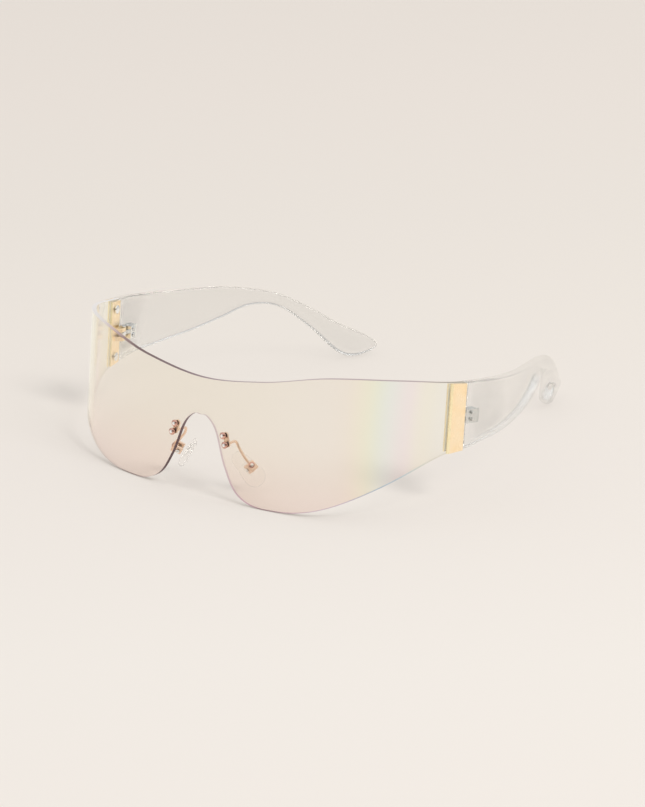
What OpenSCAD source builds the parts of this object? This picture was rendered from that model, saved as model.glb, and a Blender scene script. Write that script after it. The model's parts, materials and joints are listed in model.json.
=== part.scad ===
// Rimless shield sunglasses: one curved clear lens, metal end plates,
// barrel hinges, clear bowed temples and screw-on silicone nose pads.
// The lens faces -Y and the temples run back along +Y. The model is drawn
// upright and then leant back to stand on its lens lobes and temple tips.

/* [Lens] */
// Width of the lens across its two ends
lens_w = 148; // [143:1:154]
// Height of the lens from the lobes to the top corners
lens_h = 47.2; // [45:0.2:50]
// Thickness of the lens
lens_t = 1.5; // [1.4:0.1:2]
// Angle through which each end of the lens has turned back
wrap_angle = 75; // [72:1:78]
// Straight stretch at each end of the lens, which carries the hardware
flat_len = 8; // [8:0.1:9]

/* [End plate] */
// Width of the outer plate along the lens
plate_w = 6.2; // [5.8:0.1:6.6]
// Width of the strip inside the lens end, along the lens
strip_w = 6.8; // [6.4:0.1:7.2]
// Thickness of the outer plate
plate_t = 1; // [0.9:0.1:1.3]
// Width of the bevel along the front edge of the plate
plate_bevel = 0.6; // [0.3:0.1:0.9]
// Distance between the two plate studs
stud_pitch = 16.5; // [15:0.5:17.5]
// Diameter of a plate stud
stud_d = 1.4; // [1.2:0.1:1.6]
// Wall of the clear bush round each stud
bush_wall = 0.4; // [0.3:0.05:0.6]
// Diameter of a domed plate nut
nut_d = 3; // [2.6:0.1:3.4]
// Height of a domed plate nut
nut_h = 1.1; // [0.9:0.1:1.4]

/* [Hinge] */
// Thickness of the inner strip that carries the front knuckles
leaf_t = 0.7; // [0.6:0.1:0.9]
// Height of the whole barrel
hinge_h = 4.4; // [4.2:0.1:5.2]
// Distance of the hinge below the middle of the lens end
hinge_drop = 0.6; // [0:0.1:1.2]
// Height of the middle knuckle
mid_knuckle_h = 1.5; // [1.3:0.1:1.8]
// Diameter of the barrel
knuckle_d = 2.2; // [2.1:0.1:2.4]
// Distance from the inner strip's face to the barrel's axis
axis_rise = 1.3; // [1.3:0.1:1.6]
// Diameter of the hinge screw's shank
hinge_screw_d = 1; // [0.8:0.1:1.1]
// Gap between the end of the lens and the end of the temple
hinge_gap = 0.3; // [0.2:0.05:0.5]
// Length of the block on the temple's leaf
block_l = 4.6; // [4:0.1:5.4]

/* [Temple] */
// Height of the temple at the hinge
temple_h = 23; // [21:0.5:24]
// Thickness of the temple at the hinge
temple_t = 3.6; // [3.4:0.1:4]
// Distance from the hinge to the tip, along the line of the plate
temple_reach = 91.5; // [88:0.5:96]
// Distance by which the tip has bowed in from that line
temple_bow = 61; // [56:0.5:64]
// Angle by which the tip is twisted, so that its lower edge leans in
temple_twist = 22; // [0:1:30]

/* [Nose pads] */
// Distance along the lens from its middle to the upper nose peg
peg_u = 10.1; // [9.9:0.1:11]
// Height of the upper nose peg above the lobes
peg_v = 21.4; // [20:0.2:23]
// Distance between the two nose pegs
peg_pitch = 3.1; // [2.9:0.1:3.6]
// Diameter of a nose peg
peg_d = 0.9; // [0.8:0.05:1]
// Diameter of the cap on a nose peg
peg_cap_d = 2.3; // [2:0.1:2.6]
// Diameter of the wire arm
wire_d = 0.9; // [0.8:0.05:1.1]
// Sideways place of the pad's pivot
pad_x = 15.3; // [14.8:0.1:16]
// Distance from the lens front back to the pad's pivot
pad_y = 9.3; // [8.8:0.1:9.8]
// Height of the pad's pivot above the lobes
pad_z = 10.4; // [10:0.1:11]
// Length of a nose pad
pad_l = 13.6; // [12:0.2:15]
// Width of a nose pad
pad_w = 7.4; // [6.6:0.1:8]
// Thickness of a nose pad
pad_t = 2.6; // [2.2:0.1:3]

/* [Hidden] */
right_side = 1;
left_side = -1;
round_fn = 48;
small_fn = 24;
// Overrun of every cut
cut = 0.5;
// Clearance round a shank in its bore
bore_clear = 0.05;
// Clearance between a seated piece and its recess
seat_clear = 0.05;
// Clearance between knuckles
knuckle_gap = 0.05;

// Plan curve of the lens: how far it has turned at each share of its bend, and how wide that makes it
wrap_power = 2.24;
wrap_ease_share = 0.256;
wrap_ease_power = 6;
function turned(share) =
    wrap_angle * ((1 + wrap_ease_share) * pow(share, wrap_power) - wrap_ease_share * pow(share, wrap_ease_power));
plan_steps = 160;
step_widths = [for (i = [1:plan_steps]) cos(turned((i - 1 / 2) / plan_steps)) / plan_steps];
bend_width_share = step_widths * [for (w = step_widths) 1];
bend_len = (lens_w / 2 - flat_len * cos(wrap_angle)) / bend_width_share;
half_arc = bend_len + flat_len;
plan_step = half_arc / plan_steps;

// Places round the lens outline, as shares of half its arc and of its height
top_edge_shares = [0.824, 0.884, 0.987, 1, 0.956];
lower_edge_shares = [
    [0, 0.561], [0.03, 0.556], [0.071, 0.467], [0.116, 0.234], [0.179, 0.055],
    [0.293, 0], [0.505, 0.074], [0.866, 0.423], [1, 0.478]
];
edge_steps = 8;

// Side view of the temple at tenths of its length, as shares of its height
temple_top_shares = [0.497, 0.479, 0.455, 0.437, 0.429, 0.418, 0.362, 0.249, 0.01, -0.284, -0.475];
temple_low_shares = [-0.473, -0.407, -0.364, -0.296, -0.204, -0.066, 0.093, 0.036, -0.316, -0.766, -0.765];
// Thickness and edge rounding of the temple, as shares of its thickness
temple_thick_shares = [1, 0.95, 0.92, 0.9, 0.92, 0.98, 1.06, 1.18, 1.34, 1.48, 1.5];
temple_round_shares = [0.24, 0.26, 0.28, 0.3, 0.34, 0.38, 0.42, 0.44, 0.45, 0.46, 0.46];
bow_power = 1.67;
twist_start_share = 0.65;
tip_start_share = 0.93;
tip_end_share = 0.16;
temple_steps = 30;
tip_steps = 7;
corner_steps = 4;
// Rounding of the temple's front end
temple_end_round = 0.25;

// End plate
plate_inset = 0.15;
plate_front = flat_len - plate_w;
strip_front = flat_len - strip_w;
stud_x = strip_front + strip_w / 2;
bush_d = stud_d + 2 * bush_wall;
stud_tip = 0.6;
strip_inset = 0.55;
nut_edge_share = 0.55;

// Hinge
strip_face = lens_t + leaf_t;
axis_depth = strip_face + axis_rise;
axis_x = flat_len + hinge_gap / 2;
knuckle_r = knuckle_d / 2;
temple_start = flat_len + hinge_gap;
front_block_l = 3.6;
front_block_toe = 1;
block_back_share = 1.9;
link_back_share = 0.5;
block_gap = 0.9;
barrel_clear = 0.1;
block_x = axis_x + knuckle_r + block_gap;
block_face = axis_depth + block_back_share * knuckle_r;
link_face = axis_depth + link_back_share * knuckle_r;
toe_start = axis_x + knuckle_r + barrel_clear;
leaf_toe = 0.5;
leaf_toe_t = 0.9;
pocket_clear = 0.1;
pocket_deep = 0.4;
pocket_end = block_x + block_l + leaf_toe + pocket_clear;
pocket_floor = temple_t - plate_t - pocket_deep;
leaf_floor = pocket_floor + seat_clear;
temple_screw_d = 1.1;
temple_screw_head_d = 1.8;
temple_screw_head_h = 0.35;
temple_screw_deep = 1.4;
temple_screw_pitch = hinge_h / 2;
screw_head_d = 2;
screw_head_h = 0.5;
screw_slot_w = 0.3;
screw_slot_deep = 0.25;

// Nose bracket, arm and pad
peg_slant = 18;
peg_bush_wall = 0.35;
peg_bush_d = peg_d + 2 * peg_bush_wall;
peg_cap_h = 0.9;
bracket_t = 0.7;
bracket_w = 2;
peg_tip = 0.55;
pad_yaw = 55;
pad_pitch = -25.5;
pad_roll = -38.5;
box_w = 3;
box_h = 3.2;
box_front = 1.3;
slot_w = 1.3;
lug_w = 1.1;
lug_r = 0.95;
pad_screw_d = 0.8;
pad_screw_head_d = 1.5;
pad_screw_head_h = 0.35;
pad_gap = 0.7;
core_l = 4.6;
core_t = 0.6;
core_w = 2.4;
pad_top_share = 0.72;
pad_thin_share = 0.9;
wire_sides = 8;
wire_steps = 5;

// Uniform spline through four neighbouring values
function blend4(a, b, c, d, t) =
    0.5 * (2 * b + (c - a) * t + (2 * a - 5 * b + 4 * c - d) * t * t + (3 * b - a - 3 * c + d) * t * t * t);
function held(list, i) = list[max(0, min(len(list) - 1, i))];
function table_at(list, share) =
    let (place = share * (len(list) - 1), i = min(floor(place), len(list) - 2))
    blend4(held(list, i - 1), list[i], list[i + 1], held(list, i + 2), place - i);

// Heading and place of the lens's outer face, at a distance u along its curve
function heading(u) = turned(min(abs(u) / bend_len, 1));
function mean_heading(i) = heading((i + 0.5) * plan_step);
plan_x = [
    for (i = 0, x = 0; i <= plan_steps; x = x + plan_step * cos(mean_heading(i)), i = i + 1) [i * plan_step, x]
];
plan_y = [
    for (i = 0, y = 0; i <= plan_steps; y = y + plan_step * sin(mean_heading(i)), i = i + 1) [i * plan_step, y]
];
function lens_x(u) = sign(u) * lookup(abs(u), plan_x);
function lens_y(u) = lookup(abs(u), plan_y);
function lens_point(u, depth, z) =
    [lens_x(u) - depth * sin(heading(u)) * sign(u), lens_y(u) + depth * cos(heading(u)), z];

// Edges of the lens: the lower one as points, the top one as a height at u
function lower_knot(i) =
    let (k = lower_edge_shares[min(abs(i), len(lower_edge_shares) - 1)])
    [sign(i) * k[0] * half_arc, k[1] * lens_h];
lower_edge = [
    for (i = [0:len(lower_edge_shares) - 2]) for (j = [0:edge_steps - 1])
        blend4(lower_knot(i - 1), lower_knot(i), lower_knot(i + 1), lower_knot(i + 2), j / edge_steps),
    lower_knot(len(lower_edge_shares) - 1)
];
function top_v(u) =
    let (
        place = abs(u) / half_arc * (len(top_edge_shares) - 1),
        i = min(floor(place), len(top_edge_shares) - 2),
        next = held(top_edge_shares, i + 2)
    )
    lens_h * blend4(top_edge_shares[abs(i - 1)], top_edge_shares[i], top_edge_shares[i + 1], next, place - i);
function low_v(u) = lookup(abs(u), lower_edge);
lens_stations = concat(
    [for (i = [len(lower_edge) - 1:-1:1]) [-lower_edge[i][0], lower_edge[i][1]]],
    lower_edge
);
lens_rings = [
    for (s = lens_stations)
        [lens_point(s[0], 0, s[1]), lens_point(s[0], lens_t, s[1]),
         lens_point(s[0], lens_t, top_v(s[0])), lens_point(s[0], 0, top_v(s[0]))]
];
end_z = (top_v(half_arc) + low_v(half_arc)) / 2;
hinge_z = end_z - hinge_drop;

// Temple, in the frame of the straight lens end
function tip_factor(s) = s < tip_start_share ? 1 :
    sqrt(1 - (1 - tip_end_share * tip_end_share) * pow((s - tip_start_share) / (1 - tip_start_share), 2));
function temple_ring(s, inset) =
    let (
        f = tip_factor(s),
        e = max(0, (s - twist_start_share) / (1 - twist_start_share)),
        twist = temple_twist * e * e * (3 - 2 * e),
        turn = atan(bow_power * temple_bow * pow(s, bow_power - 1) / temple_reach),
        x = temple_start + s * temple_reach,
        y = temple_t / 2 - plate_t + temple_bow * pow(s, bow_power),
        top = end_z + temple_h * table_at(temple_top_shares, s),
        low = end_z + temple_h * table_at(temple_low_shares, s),
        h = (top - low) * f - 2 * inset,
        w = temple_t * table_at(temple_thick_shares, s) * f - 2 * inset,
        r = w * table_at(temple_round_shares, s)
    )
    [
        for (c = [0:3]) for (k = [0:corner_steps])
            let (
                a = 90 * (c + k / corner_steps),
                side = (c == 0 || c == 3) ? 1 : -1,
                up = (c < 2) ? 1 : -1,
                wide = side * (w / 2 - r) + r * cos(a),
                tall = up * (h / 2 - r) + r * sin(a),
                across = wide * cos(twist) - tall * sin(twist),
                rise = tall * cos(twist) + wide * sin(twist)
            )
            [x - across * sin(turn), y + across * cos(turn), (top + low) / 2 + rise]
    ];
temple_places = concat(
    [for (i = [0:temple_steps]) tip_start_share * i / temple_steps],
    [for (i = [1:tip_steps]) tip_start_share + (1 - tip_start_share) * sin(90 * i / tip_steps)]
);
temple_end_places = [0, temple_end_round * (1 - cos(45)), temple_end_round];
temple_end_insets = [temple_end_round, temple_end_round * (1 - sin(45)), 0];
temple_rings = concat(
    [for (i = [0:2]) temple_ring(temple_end_places[i] / temple_reach, temple_end_insets[i])],
    [for (i = [1:len(temple_places) - 1]) temple_ring(temple_places[i], 0)]
);

// Lean and lift that stand the glasses on their lobes and tips
function end_y(p) = lens_y(bend_len) + p[0] * sin(wrap_angle) + p[1] * cos(wrap_angle);
lens_spots = [for (s = lens_stations) each [lens_point(s[0], 0, s[1]), lens_point(s[0], lens_t, s[1])]];
lobe_low = min([for (p = lens_spots) p[2]]);
lobe_spot = [for (p = lens_spots) if (p[2] == lobe_low) p][0];
temple_spots = [for (ring = temple_rings) for (p = ring) [0, end_y(p), p[2]]];
lean = min([for (p = temple_spots) if (p[1] > 2 * end_y([0, 0])) atan2(p[2] - lobe_spot[2], p[1] - lobe_spot[1])]);
function stood_z(p) = p[2] * cos(lean) - p[1] * sin(lean);
function stood_y(p) = p[1] * cos(lean) + p[2] * sin(lean);
spots = concat(lens_spots, temple_spots);
lift = -min([for (p = spots) stood_z(p)]);
middle_y = (min([for (p = spots) stood_y(p)]) + max([for (p = spots) stood_y(p)])) / 2;

// Wire arm, from the lower peg back, over its bend and down to the pad box
lower_peg_u = peg_u + peg_pitch * sin(peg_slant);
lower_peg_v = peg_v - peg_pitch * cos(peg_slant);
arm_root = lens_t + bracket_t / 2;
function pad_way(v) =
    let (
        rolled = [v[0] * cos(pad_roll) + v[2] * sin(pad_roll), v[1], v[2] * cos(pad_roll) - v[0] * sin(pad_roll)],
        y = rolled[1] * cos(pad_pitch) - rolled[2] * sin(pad_pitch)
    )
    [
        rolled[0] * cos(pad_yaw) - y * sin(pad_yaw),
        rolled[0] * sin(pad_yaw) + y * cos(pad_yaw),
        rolled[1] * sin(pad_pitch) + rolled[2] * cos(pad_pitch)
    ];
box_back = lug_r + pocket_clear + wire_d;
arm_foot = [lower_peg_u, arm_root, lower_peg_v];
arm_seat = [pad_x, pad_y, pad_z] - (box_back - wire_d / 2) * pad_way([0, 1, 0]);
arm_top = arm_seat + box_h * pad_way([0, 0, 1]);
arm_span = arm_top - arm_foot;
// Places over the arm's bend, as shares of the way from its foot to above the pad box
arm_shares = [[0, 0, 0], [-0.09, 0.48, -0.05], [-0.08, 0.83, 0], [0.23, 0.95, 0.41]];
arm_knots = concat(
    [for (k = arm_shares) [for (axis = [0:2]) arm_foot[axis] + k[axis] * arm_span[axis]]],
    [arm_top, arm_seat]
);
arm_path = [
    for (i = [0:len(arm_knots) - 2]) for (j = [0:wire_steps - 1])
        blend4(held(arm_knots, i - 1), arm_knots[i], arm_knots[i + 1], held(arm_knots, i + 2), j / wire_steps),
    arm_knots[len(arm_knots) - 1]
];
wire_side_way = [0.8, 0, 0.6];
function unit(v) = v / norm(v);
function wire_ring(path, i, r) =
    let (
        way = unit(held(path, i + 1) - held(path, i - 1)),
        a = unit(cross(way, wire_side_way)),
        b = cross(a, way)
    )
    [for (k = [0:wire_sides - 1]) path[i] + r * (cos(360 * k / wire_sides) * a + sin(360 * k / wire_sides) * b)];

// A closed skin over a run of rings
module loft(rings) {
    n = len(rings[0]);
    m = len(rings);
    sides = [
        for (i = [0:m - 2]) for (j = [0:n - 1])
            let (a = i * n + j, b = i * n + (j + 1) % n, c = b + n, d = a + n)
            each [[a, b, c], [a, c, d]]
    ];
    caps = [[for (j = [n - 1:-1:0]) j], [for (j = [0:n - 1]) (m - 1) * n + j]];
    polyhedron([for (ring = rings) each ring], concat(sides, caps));
}

// Leans the upright model back on its tips
module stand() {
    translate([0, -middle_y, lift]) rotate([-lean, 0, 0]) children();
}

module on_side(side) {
    if (side > 0) children();
    else mirror([1, 0, 0]) children();
}

// Frame on the lens: X along the curve, Y in through the lens, Z up
module on_lens(side, u, v) {
    on_side(side) translate([lens_x(u), lens_y(u), v]) rotate([0, 0, heading(u)]) children();
}

// A rod that runs inwards from a depth in that frame
module inward_rod(d, from, to, fn = small_fn) {
    translate([0, from, 0]) rotate([-90, 0, 0]) cylinder(d = d, h = to - from, $fn = fn);
}

module at_end(side) {
    stand() on_lens(side, bend_len, 0) children();
}

module at_studs(side) {
    at_end(side) for (way = [-1, 1]) translate([stud_x, 0, end_z + way * stud_pitch / 2]) children();
}

module at_pegs(side) {
    stand() {
        on_lens(side, peg_u, peg_v) children();
        on_lens(side, lower_peg_u, lower_peg_v) children();
    }
}

// A disc with a domed face, its flat side on the origin, rising along -Y
module domed_disc(d, h, edge_share) {
    edge = h * edge_share;
    crown = h - edge;
    ball = (d * d / 4 + crown * crown) / (2 * crown);
    rotate([90, 0, 0]) intersection() {
        cylinder(d = d, h = h, $fn = round_fn);
        translate([0, 0, h - ball]) sphere(r = ball, $fn = round_fn);
    }
}

// Outline of the lens end from the front of the hardware to its rear
module end_outline(from, to, inset) {
    u0 = bend_len + from;
    u1 = bend_len + to;
    polygon([
        [from, low_v(u0) + inset], [to, low_v(u1) + inset],
        [to, top_v(u1) - inset], [from, top_v(u0) - inset]
    ]);
}

module lens() {
    color("mistyrose", 0.5) difference() {
        stand() loft(lens_rings);
        for (side = [left_side, right_side]) {
            at_studs(side) inward_rod(bush_d + 2 * bore_clear, -cut, lens_t + cut);
            at_pegs(side) inward_rod(peg_bush_d + 2 * bore_clear, -cut, lens_t + cut);
        }
    }
}

module plate(side) {
    color("gold") {
        at_end(side) intersection() {
            rotate([90, 0, 0]) linear_extrude(height = plate_t) end_outline(plate_front, flat_len, plate_inset);
            linear_extrude(height = 2 * lens_h) polygon([
                [plate_front, 0], [flat_len, 0], [flat_len, -plate_t],
                [plate_front + plate_bevel, -plate_t], [plate_front, -plate_t / 2]
            ]);
        }
        at_studs(side) inward_rod(stud_d, -plate_t / 2, strip_face + stud_tip);
    }
}

module plate_bushes(side) {
    color("white") at_studs(side) difference() {
        inward_rod(bush_d, 0, lens_t);
        inward_rod(stud_d + 2 * bore_clear, -cut, lens_t + cut);
    }
}

// Side view of a front knuckle and the block that joins it to the strip
module front_knuckle_plan() {
    root = strip_face - leaf_t / 2;
    rear = flat_len - leaf_t / 4;
    translate([axis_x, axis_depth]) circle(d = knuckle_d, $fn = round_fn);
    polygon([
        [axis_x - front_block_l - front_block_toe, root], [rear, root],
        [rear, axis_depth - knuckle_r + seat_clear], [axis_x, axis_depth - knuckle_r + seat_clear],
        [axis_x, axis_depth + knuckle_r - seat_clear],
        [axis_x - front_block_l + front_block_toe, axis_depth + knuckle_r - seat_clear]
    ]);
}

module front_leaf(side) {
    knuckle_h = (hinge_h - mid_knuckle_h) / 2 - knuckle_gap;
    color("gold") difference() {
        union() {
            at_end(side) translate([0, strip_face, 0]) rotate([90, 0, 0])
                linear_extrude(height = leaf_t - seat_clear)
                    end_outline(strip_front + strip_inset, flat_len - seat_clear, strip_inset);
            at_end(side) for (way = [0, 1])
                translate([0, 0, hinge_z - hinge_h / 2 + way * (hinge_h - knuckle_h)])
                    linear_extrude(height = knuckle_h) front_knuckle_plan();
        }
        at_studs(side) inward_rod(stud_d + 2 * bore_clear, lens_t - cut, strip_face + cut);
        at_end(side) translate([axis_x, axis_depth, hinge_z - hinge_h])
            cylinder(d = hinge_screw_d + 2 * bore_clear, h = 2 * hinge_h, $fn = round_fn);
    }
}

module plate_nuts(side) {
    color("silver") at_studs(side) difference() {
        translate([0, strip_face + seat_clear, 0]) rotate([0, 0, 180]) domed_disc(nut_d, nut_h, nut_edge_share);
        inward_rod(stud_d + 2 * bore_clear, strip_face - cut, strip_face + stud_tip + seat_clear);
    }
}

module hinge_screw(side) {
    color("silver") at_end(side) translate([axis_x, axis_depth, hinge_z + hinge_h / 2]) difference() {
        union() {
            translate([0, 0, -hinge_h]) cylinder(d = hinge_screw_d, h = hinge_h + screw_head_h / 2, $fn = round_fn);
            translate([0, 0, seat_clear]) cylinder(d = screw_head_d, h = screw_head_h, $fn = round_fn);
        }
        translate([-screw_head_d, -screw_slot_w / 2, screw_head_h + seat_clear - screw_slot_deep])
            cube([2 * screw_head_d, screw_slot_w, screw_slot_deep + cut]);
    }
}

module at_temple_screws(side) {
    at_end(side) for (way = [-1, 1])
        translate([block_x + block_l / 2, 0, hinge_z + way * temple_screw_pitch / 2]) children();
}

// Plan of the temple's leaf: its toe in the temple and the block that stands on it
module temple_block_plan() {
    translate([toe_start, leaf_floor]) square([block_x + block_l + leaf_toe - toe_start, leaf_toe_t]);
    translate([block_x, leaf_floor]) square([block_l, block_face - leaf_floor]);
}

module middle_knuckle_plan() {
    translate([axis_x, axis_depth]) circle(d = knuckle_d, $fn = round_fn);
    polygon([
        [temple_start + seat_clear, leaf_floor + seat_clear], [block_x + cut, leaf_floor + seat_clear],
        [block_x + cut, link_face], [axis_x, link_face],
        [axis_x, axis_depth - knuckle_r + seat_clear]
    ]);
}

module temple_leaf(side) {
    color("silver") difference() {
        at_end(side) {
            translate([0, 0, hinge_z - hinge_h / 2]) linear_extrude(height = hinge_h) temple_block_plan();
            translate([0, 0, hinge_z - mid_knuckle_h / 2])
                linear_extrude(height = mid_knuckle_h) middle_knuckle_plan();
        }
        at_end(side) translate([axis_x, axis_depth, hinge_z - hinge_h])
            cylinder(d = hinge_screw_d + 2 * bore_clear, h = 2 * hinge_h, $fn = round_fn);
        at_temple_screws(side) inward_rod(temple_screw_d + 2 * bore_clear, leaf_floor - cut, block_face + cut);
    }
}

module temple_screws(side) {
    head_face = block_face + seat_clear;
    top = head_face + temple_screw_head_h;
    color("silver") at_temple_screws(side) difference() {
        union() {
            inward_rod(temple_screw_d, pocket_floor - temple_screw_deep, head_face + temple_screw_head_h / 2);
            inward_rod(temple_screw_head_d, head_face, top);
        }
        translate([-temple_screw_head_d, top - screw_slot_deep, -screw_slot_w / 2])
            cube([2 * temple_screw_head_d, screw_slot_deep + cut, screw_slot_w]);
    }
}

module temple(side) {
    color("whitesmoke", 0.7) difference() {
        at_end(side) loft(temple_rings);
        at_end(side) translate([temple_start - cut, pocket_floor, hinge_z - hinge_h / 2 - pocket_clear])
            cube([pocket_end - temple_start + cut, temple_t, hinge_h + 2 * pocket_clear]);
        at_temple_screws(side)
            inward_rod(
                temple_screw_d + 2 * bore_clear, pocket_floor - temple_screw_deep - seat_clear, pocket_floor + cut
            );
    }
}

module at_pad(side) {
    stand() on_side(side) translate([pad_x, pad_y, pad_z])
        rotate([0, 0, pad_yaw]) rotate([pad_pitch, 0, 0]) rotate([0, pad_roll, 0]) children();
}

// A rod across the pad box, centred on the pivot
module cross_rod(d, l) {
    rotate([0, 90, 0]) cylinder(d = d, h = l, center = true, $fn = small_fn);
}

module nose_arm(side) {
    color("gold") {
        at_pegs(side) inward_rod(peg_d, -peg_tip, lens_t + bracket_t / 2);
        stand() on_side(side) loft([for (i = [0:len(arm_path) - 1]) wire_ring(arm_path, i, wire_d / 2)]);
        stand() on_lens(side, (peg_u + lower_peg_u) / 2, (peg_v + lower_peg_v) / 2)
            translate([0, lens_t + seat_clear, 0]) rotate([0, -peg_slant, 0]) rotate([-90, 0, 0])
                linear_extrude(height = bracket_t - seat_clear) {
                    square([bracket_w, peg_pitch], center = true);
                    for (way = [-1, 1]) translate([0, way * peg_pitch / 2]) circle(d = bracket_w, $fn = small_fn);
                }
        at_pad(side) difference() {
            translate([-box_w / 2, -box_back, -box_h / 2]) cube([box_w, box_back + box_front, box_h]);
            translate([-slot_w / 2, -lug_r - pocket_clear, -box_h]) cube([slot_w, box_back + box_front, 2 * box_h]);
            cross_rod(pad_screw_d + 2 * bore_clear, 2 * box_w);
        }
    }
}

module peg_bushes(side) {
    color("white") at_pegs(side) difference() {
        inward_rod(peg_bush_d, 0, lens_t);
        inward_rod(peg_d + 2 * bore_clear, -cut, lens_t + cut);
    }
}

module peg_caps(side) {
    color("rosybrown") at_pegs(side) difference() {
        translate([0, -seat_clear, 0]) domed_disc(peg_cap_d, peg_cap_h, nut_edge_share);
        inward_rod(peg_d + 2 * bore_clear, -peg_tip - seat_clear, cut);
    }
}

module pad_lug(side) {
    color("white") at_pad(side) difference() {
        union() {
            cross_rod(2 * lug_r, lug_w);
            translate([-lug_w / 2, 0, -lug_r]) cube([lug_w, box_front + pad_gap + core_t, 2 * lug_r]);
            translate([-core_w / 2, box_front + pad_gap + core_t, -core_l / 2]) cube([core_w, core_t, core_l]);
        }
        cross_rod(pad_screw_d + 2 * bore_clear, 2 * lug_w);
    }
}

module pad_screw(side) {
    color("silver") at_pad(side) {
        cross_rod(pad_screw_d, box_w);
        translate([-(box_w / 2 + pad_screw_head_h / 2 + seat_clear), 0, 0]) cross_rod(pad_screw_head_d, pad_screw_head_h);
        translate([-(box_w / 2 + seat_clear), 0, 0]) cross_rod(pad_screw_d, pad_screw_head_h);
    }
}

module nose_pad(side) {
    back = box_front + pad_gap;
    small_d = pad_w * pad_top_share;
    color("white", 0.6) at_pad(side) difference() {
        translate([0, back + pad_t / 2, 0]) hull() {
            translate([0, 0, pad_l / 2 - small_d / 2]) scale([1, pad_t / small_d * pad_thin_share, 1])
                sphere(d = small_d, $fn = small_fn);
            translate([0, 0, pad_w / 2 - pad_l / 2]) scale([1, pad_t / pad_w, 1]) sphere(d = pad_w, $fn = small_fn);
        }
        translate([-lug_w / 2 - seat_clear, 0, -lug_r - seat_clear])
            cube([lug_w + 2 * seat_clear, back + core_t + cut / 2, 2 * (lug_r + seat_clear)]);
        translate([-core_w / 2 - seat_clear, back + core_t - seat_clear, -core_l / 2 - seat_clear])
            cube([core_w + 2 * seat_clear, core_t + 2 * seat_clear, core_l + 2 * seat_clear]);
    }
}

lens();
plate(left_side);  // plate_left
plate(right_side);  // plate_right
plate_bushes(left_side);  // plate_bushes_left
plate_bushes(right_side);  // plate_bushes_right
front_leaf(left_side);  // front_leaf_left
front_leaf(right_side);  // front_leaf_right
plate_nuts(left_side);  // plate_nuts_left
plate_nuts(right_side);  // plate_nuts_right
hinge_screw(left_side);  // hinge_screw_left
hinge_screw(right_side);  // hinge_screw_right
temple_leaf(left_side);  // temple_leaf_left
temple_leaf(right_side);  // temple_leaf_right
temple_screws(left_side);  // temple_screws_left
temple_screws(right_side);  // temple_screws_right
temple(left_side);  // temple_left
temple(right_side);  // temple_right
nose_arm(left_side);  // nose_arm_left
nose_arm(right_side);  // nose_arm_right
peg_bushes(left_side);  // peg_bushes_left
peg_bushes(right_side);  // peg_bushes_right
peg_caps(left_side);  // peg_caps_left
peg_caps(right_side);  // peg_caps_right
pad_lug(left_side);  // pad_lug_left
pad_lug(right_side);  // pad_lug_right
pad_screw(left_side);  // pad_screw_left
pad_screw(right_side);  // pad_screw_right
nose_pad(left_side);  // nose_pad_left
nose_pad(right_side);  // nose_pad_right
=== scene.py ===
"""Looks of a pair of rimless shield sunglasses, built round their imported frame.

The lens faces -Y, the arms run back along +Y and Z is up. Lengths are in metres. Each sub-assembly is a
class: its fields hold its sizes, and its methods build its meshes and dress them.
"""

from __future__ import annotations

import json
import logging
import math
from collections.abc import Iterator, Sequence
from contextlib import contextmanager
from dataclasses import dataclass
from enum import Enum
from functools import cached_property

import bmesh
import bpy
import numpy as np
from mathutils import Matrix, Vector


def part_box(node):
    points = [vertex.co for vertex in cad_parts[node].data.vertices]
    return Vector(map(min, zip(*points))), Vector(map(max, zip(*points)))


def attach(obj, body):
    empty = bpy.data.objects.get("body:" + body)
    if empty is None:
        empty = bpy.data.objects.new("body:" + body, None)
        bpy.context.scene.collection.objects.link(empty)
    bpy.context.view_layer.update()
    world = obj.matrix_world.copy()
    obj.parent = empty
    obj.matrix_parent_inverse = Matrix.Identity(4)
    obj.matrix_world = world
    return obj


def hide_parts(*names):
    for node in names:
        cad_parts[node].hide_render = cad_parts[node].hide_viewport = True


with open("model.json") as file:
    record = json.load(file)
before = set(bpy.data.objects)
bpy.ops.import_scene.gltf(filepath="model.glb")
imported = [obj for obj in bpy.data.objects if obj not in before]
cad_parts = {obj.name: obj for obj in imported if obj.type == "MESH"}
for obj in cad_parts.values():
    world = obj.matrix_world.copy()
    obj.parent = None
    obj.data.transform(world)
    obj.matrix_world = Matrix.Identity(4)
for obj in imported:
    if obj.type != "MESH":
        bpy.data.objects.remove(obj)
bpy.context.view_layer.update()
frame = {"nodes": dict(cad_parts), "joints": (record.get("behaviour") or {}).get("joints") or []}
MM = 0.001
WELD = 0.0005 * MM  # how close two corners lie that are one
SHARP = 40  # the least angle, in degrees, between two faces with a sharp edge
NOISE = (0.3, 0.7)  # the values between which a soft random pattern mostly lies
ALONG, UP, FACING = "along", "up", "facing"  # the names of the meshes' own attributes
log = logging.getLogger("shield_sunglasses")

Pair = tuple[float, float]
Triple = tuple[float, float, float]
Colour = Triple
Profile = tuple[Pair, ...]
Stops = tuple[tuple[float, Colour], ...]
Spots = list[tuple[Vector, Vector]]


def seen(red: float, green: float, blue: float) -> Colour:
    """Turns a colour as it is seen on a screen, from 0 to 255, into the linear one that shaders take.

    Args:
        red: the red share of it.
        green: the green share of it.
        blue: the blue share of it.

    Returns:
        The linear colour, from 0 to 1.
    """
    shares = np.array([red, green, blue]) / 255
    linear = np.where(shares > 0.04045, ((shares + 0.055) / 1.055) ** 2.4, shares / 12.92)
    return tuple(float(x) for x in linear)


class Side(Enum):
    """The two sides of the glasses, as someone whom the lens faces sees them, by the sign of X."""

    RIGHT = 1
    LEFT = -1

    @property
    def label(self) -> str:
        """The side's name as the frame's nodes write it."""
        return self.name.lower()

    @property
    def mirror(self) -> Matrix:
        """Takes a place on the right side to this side."""
        return Matrix.Diagonal((self.value, 1, 1, 1))


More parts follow.
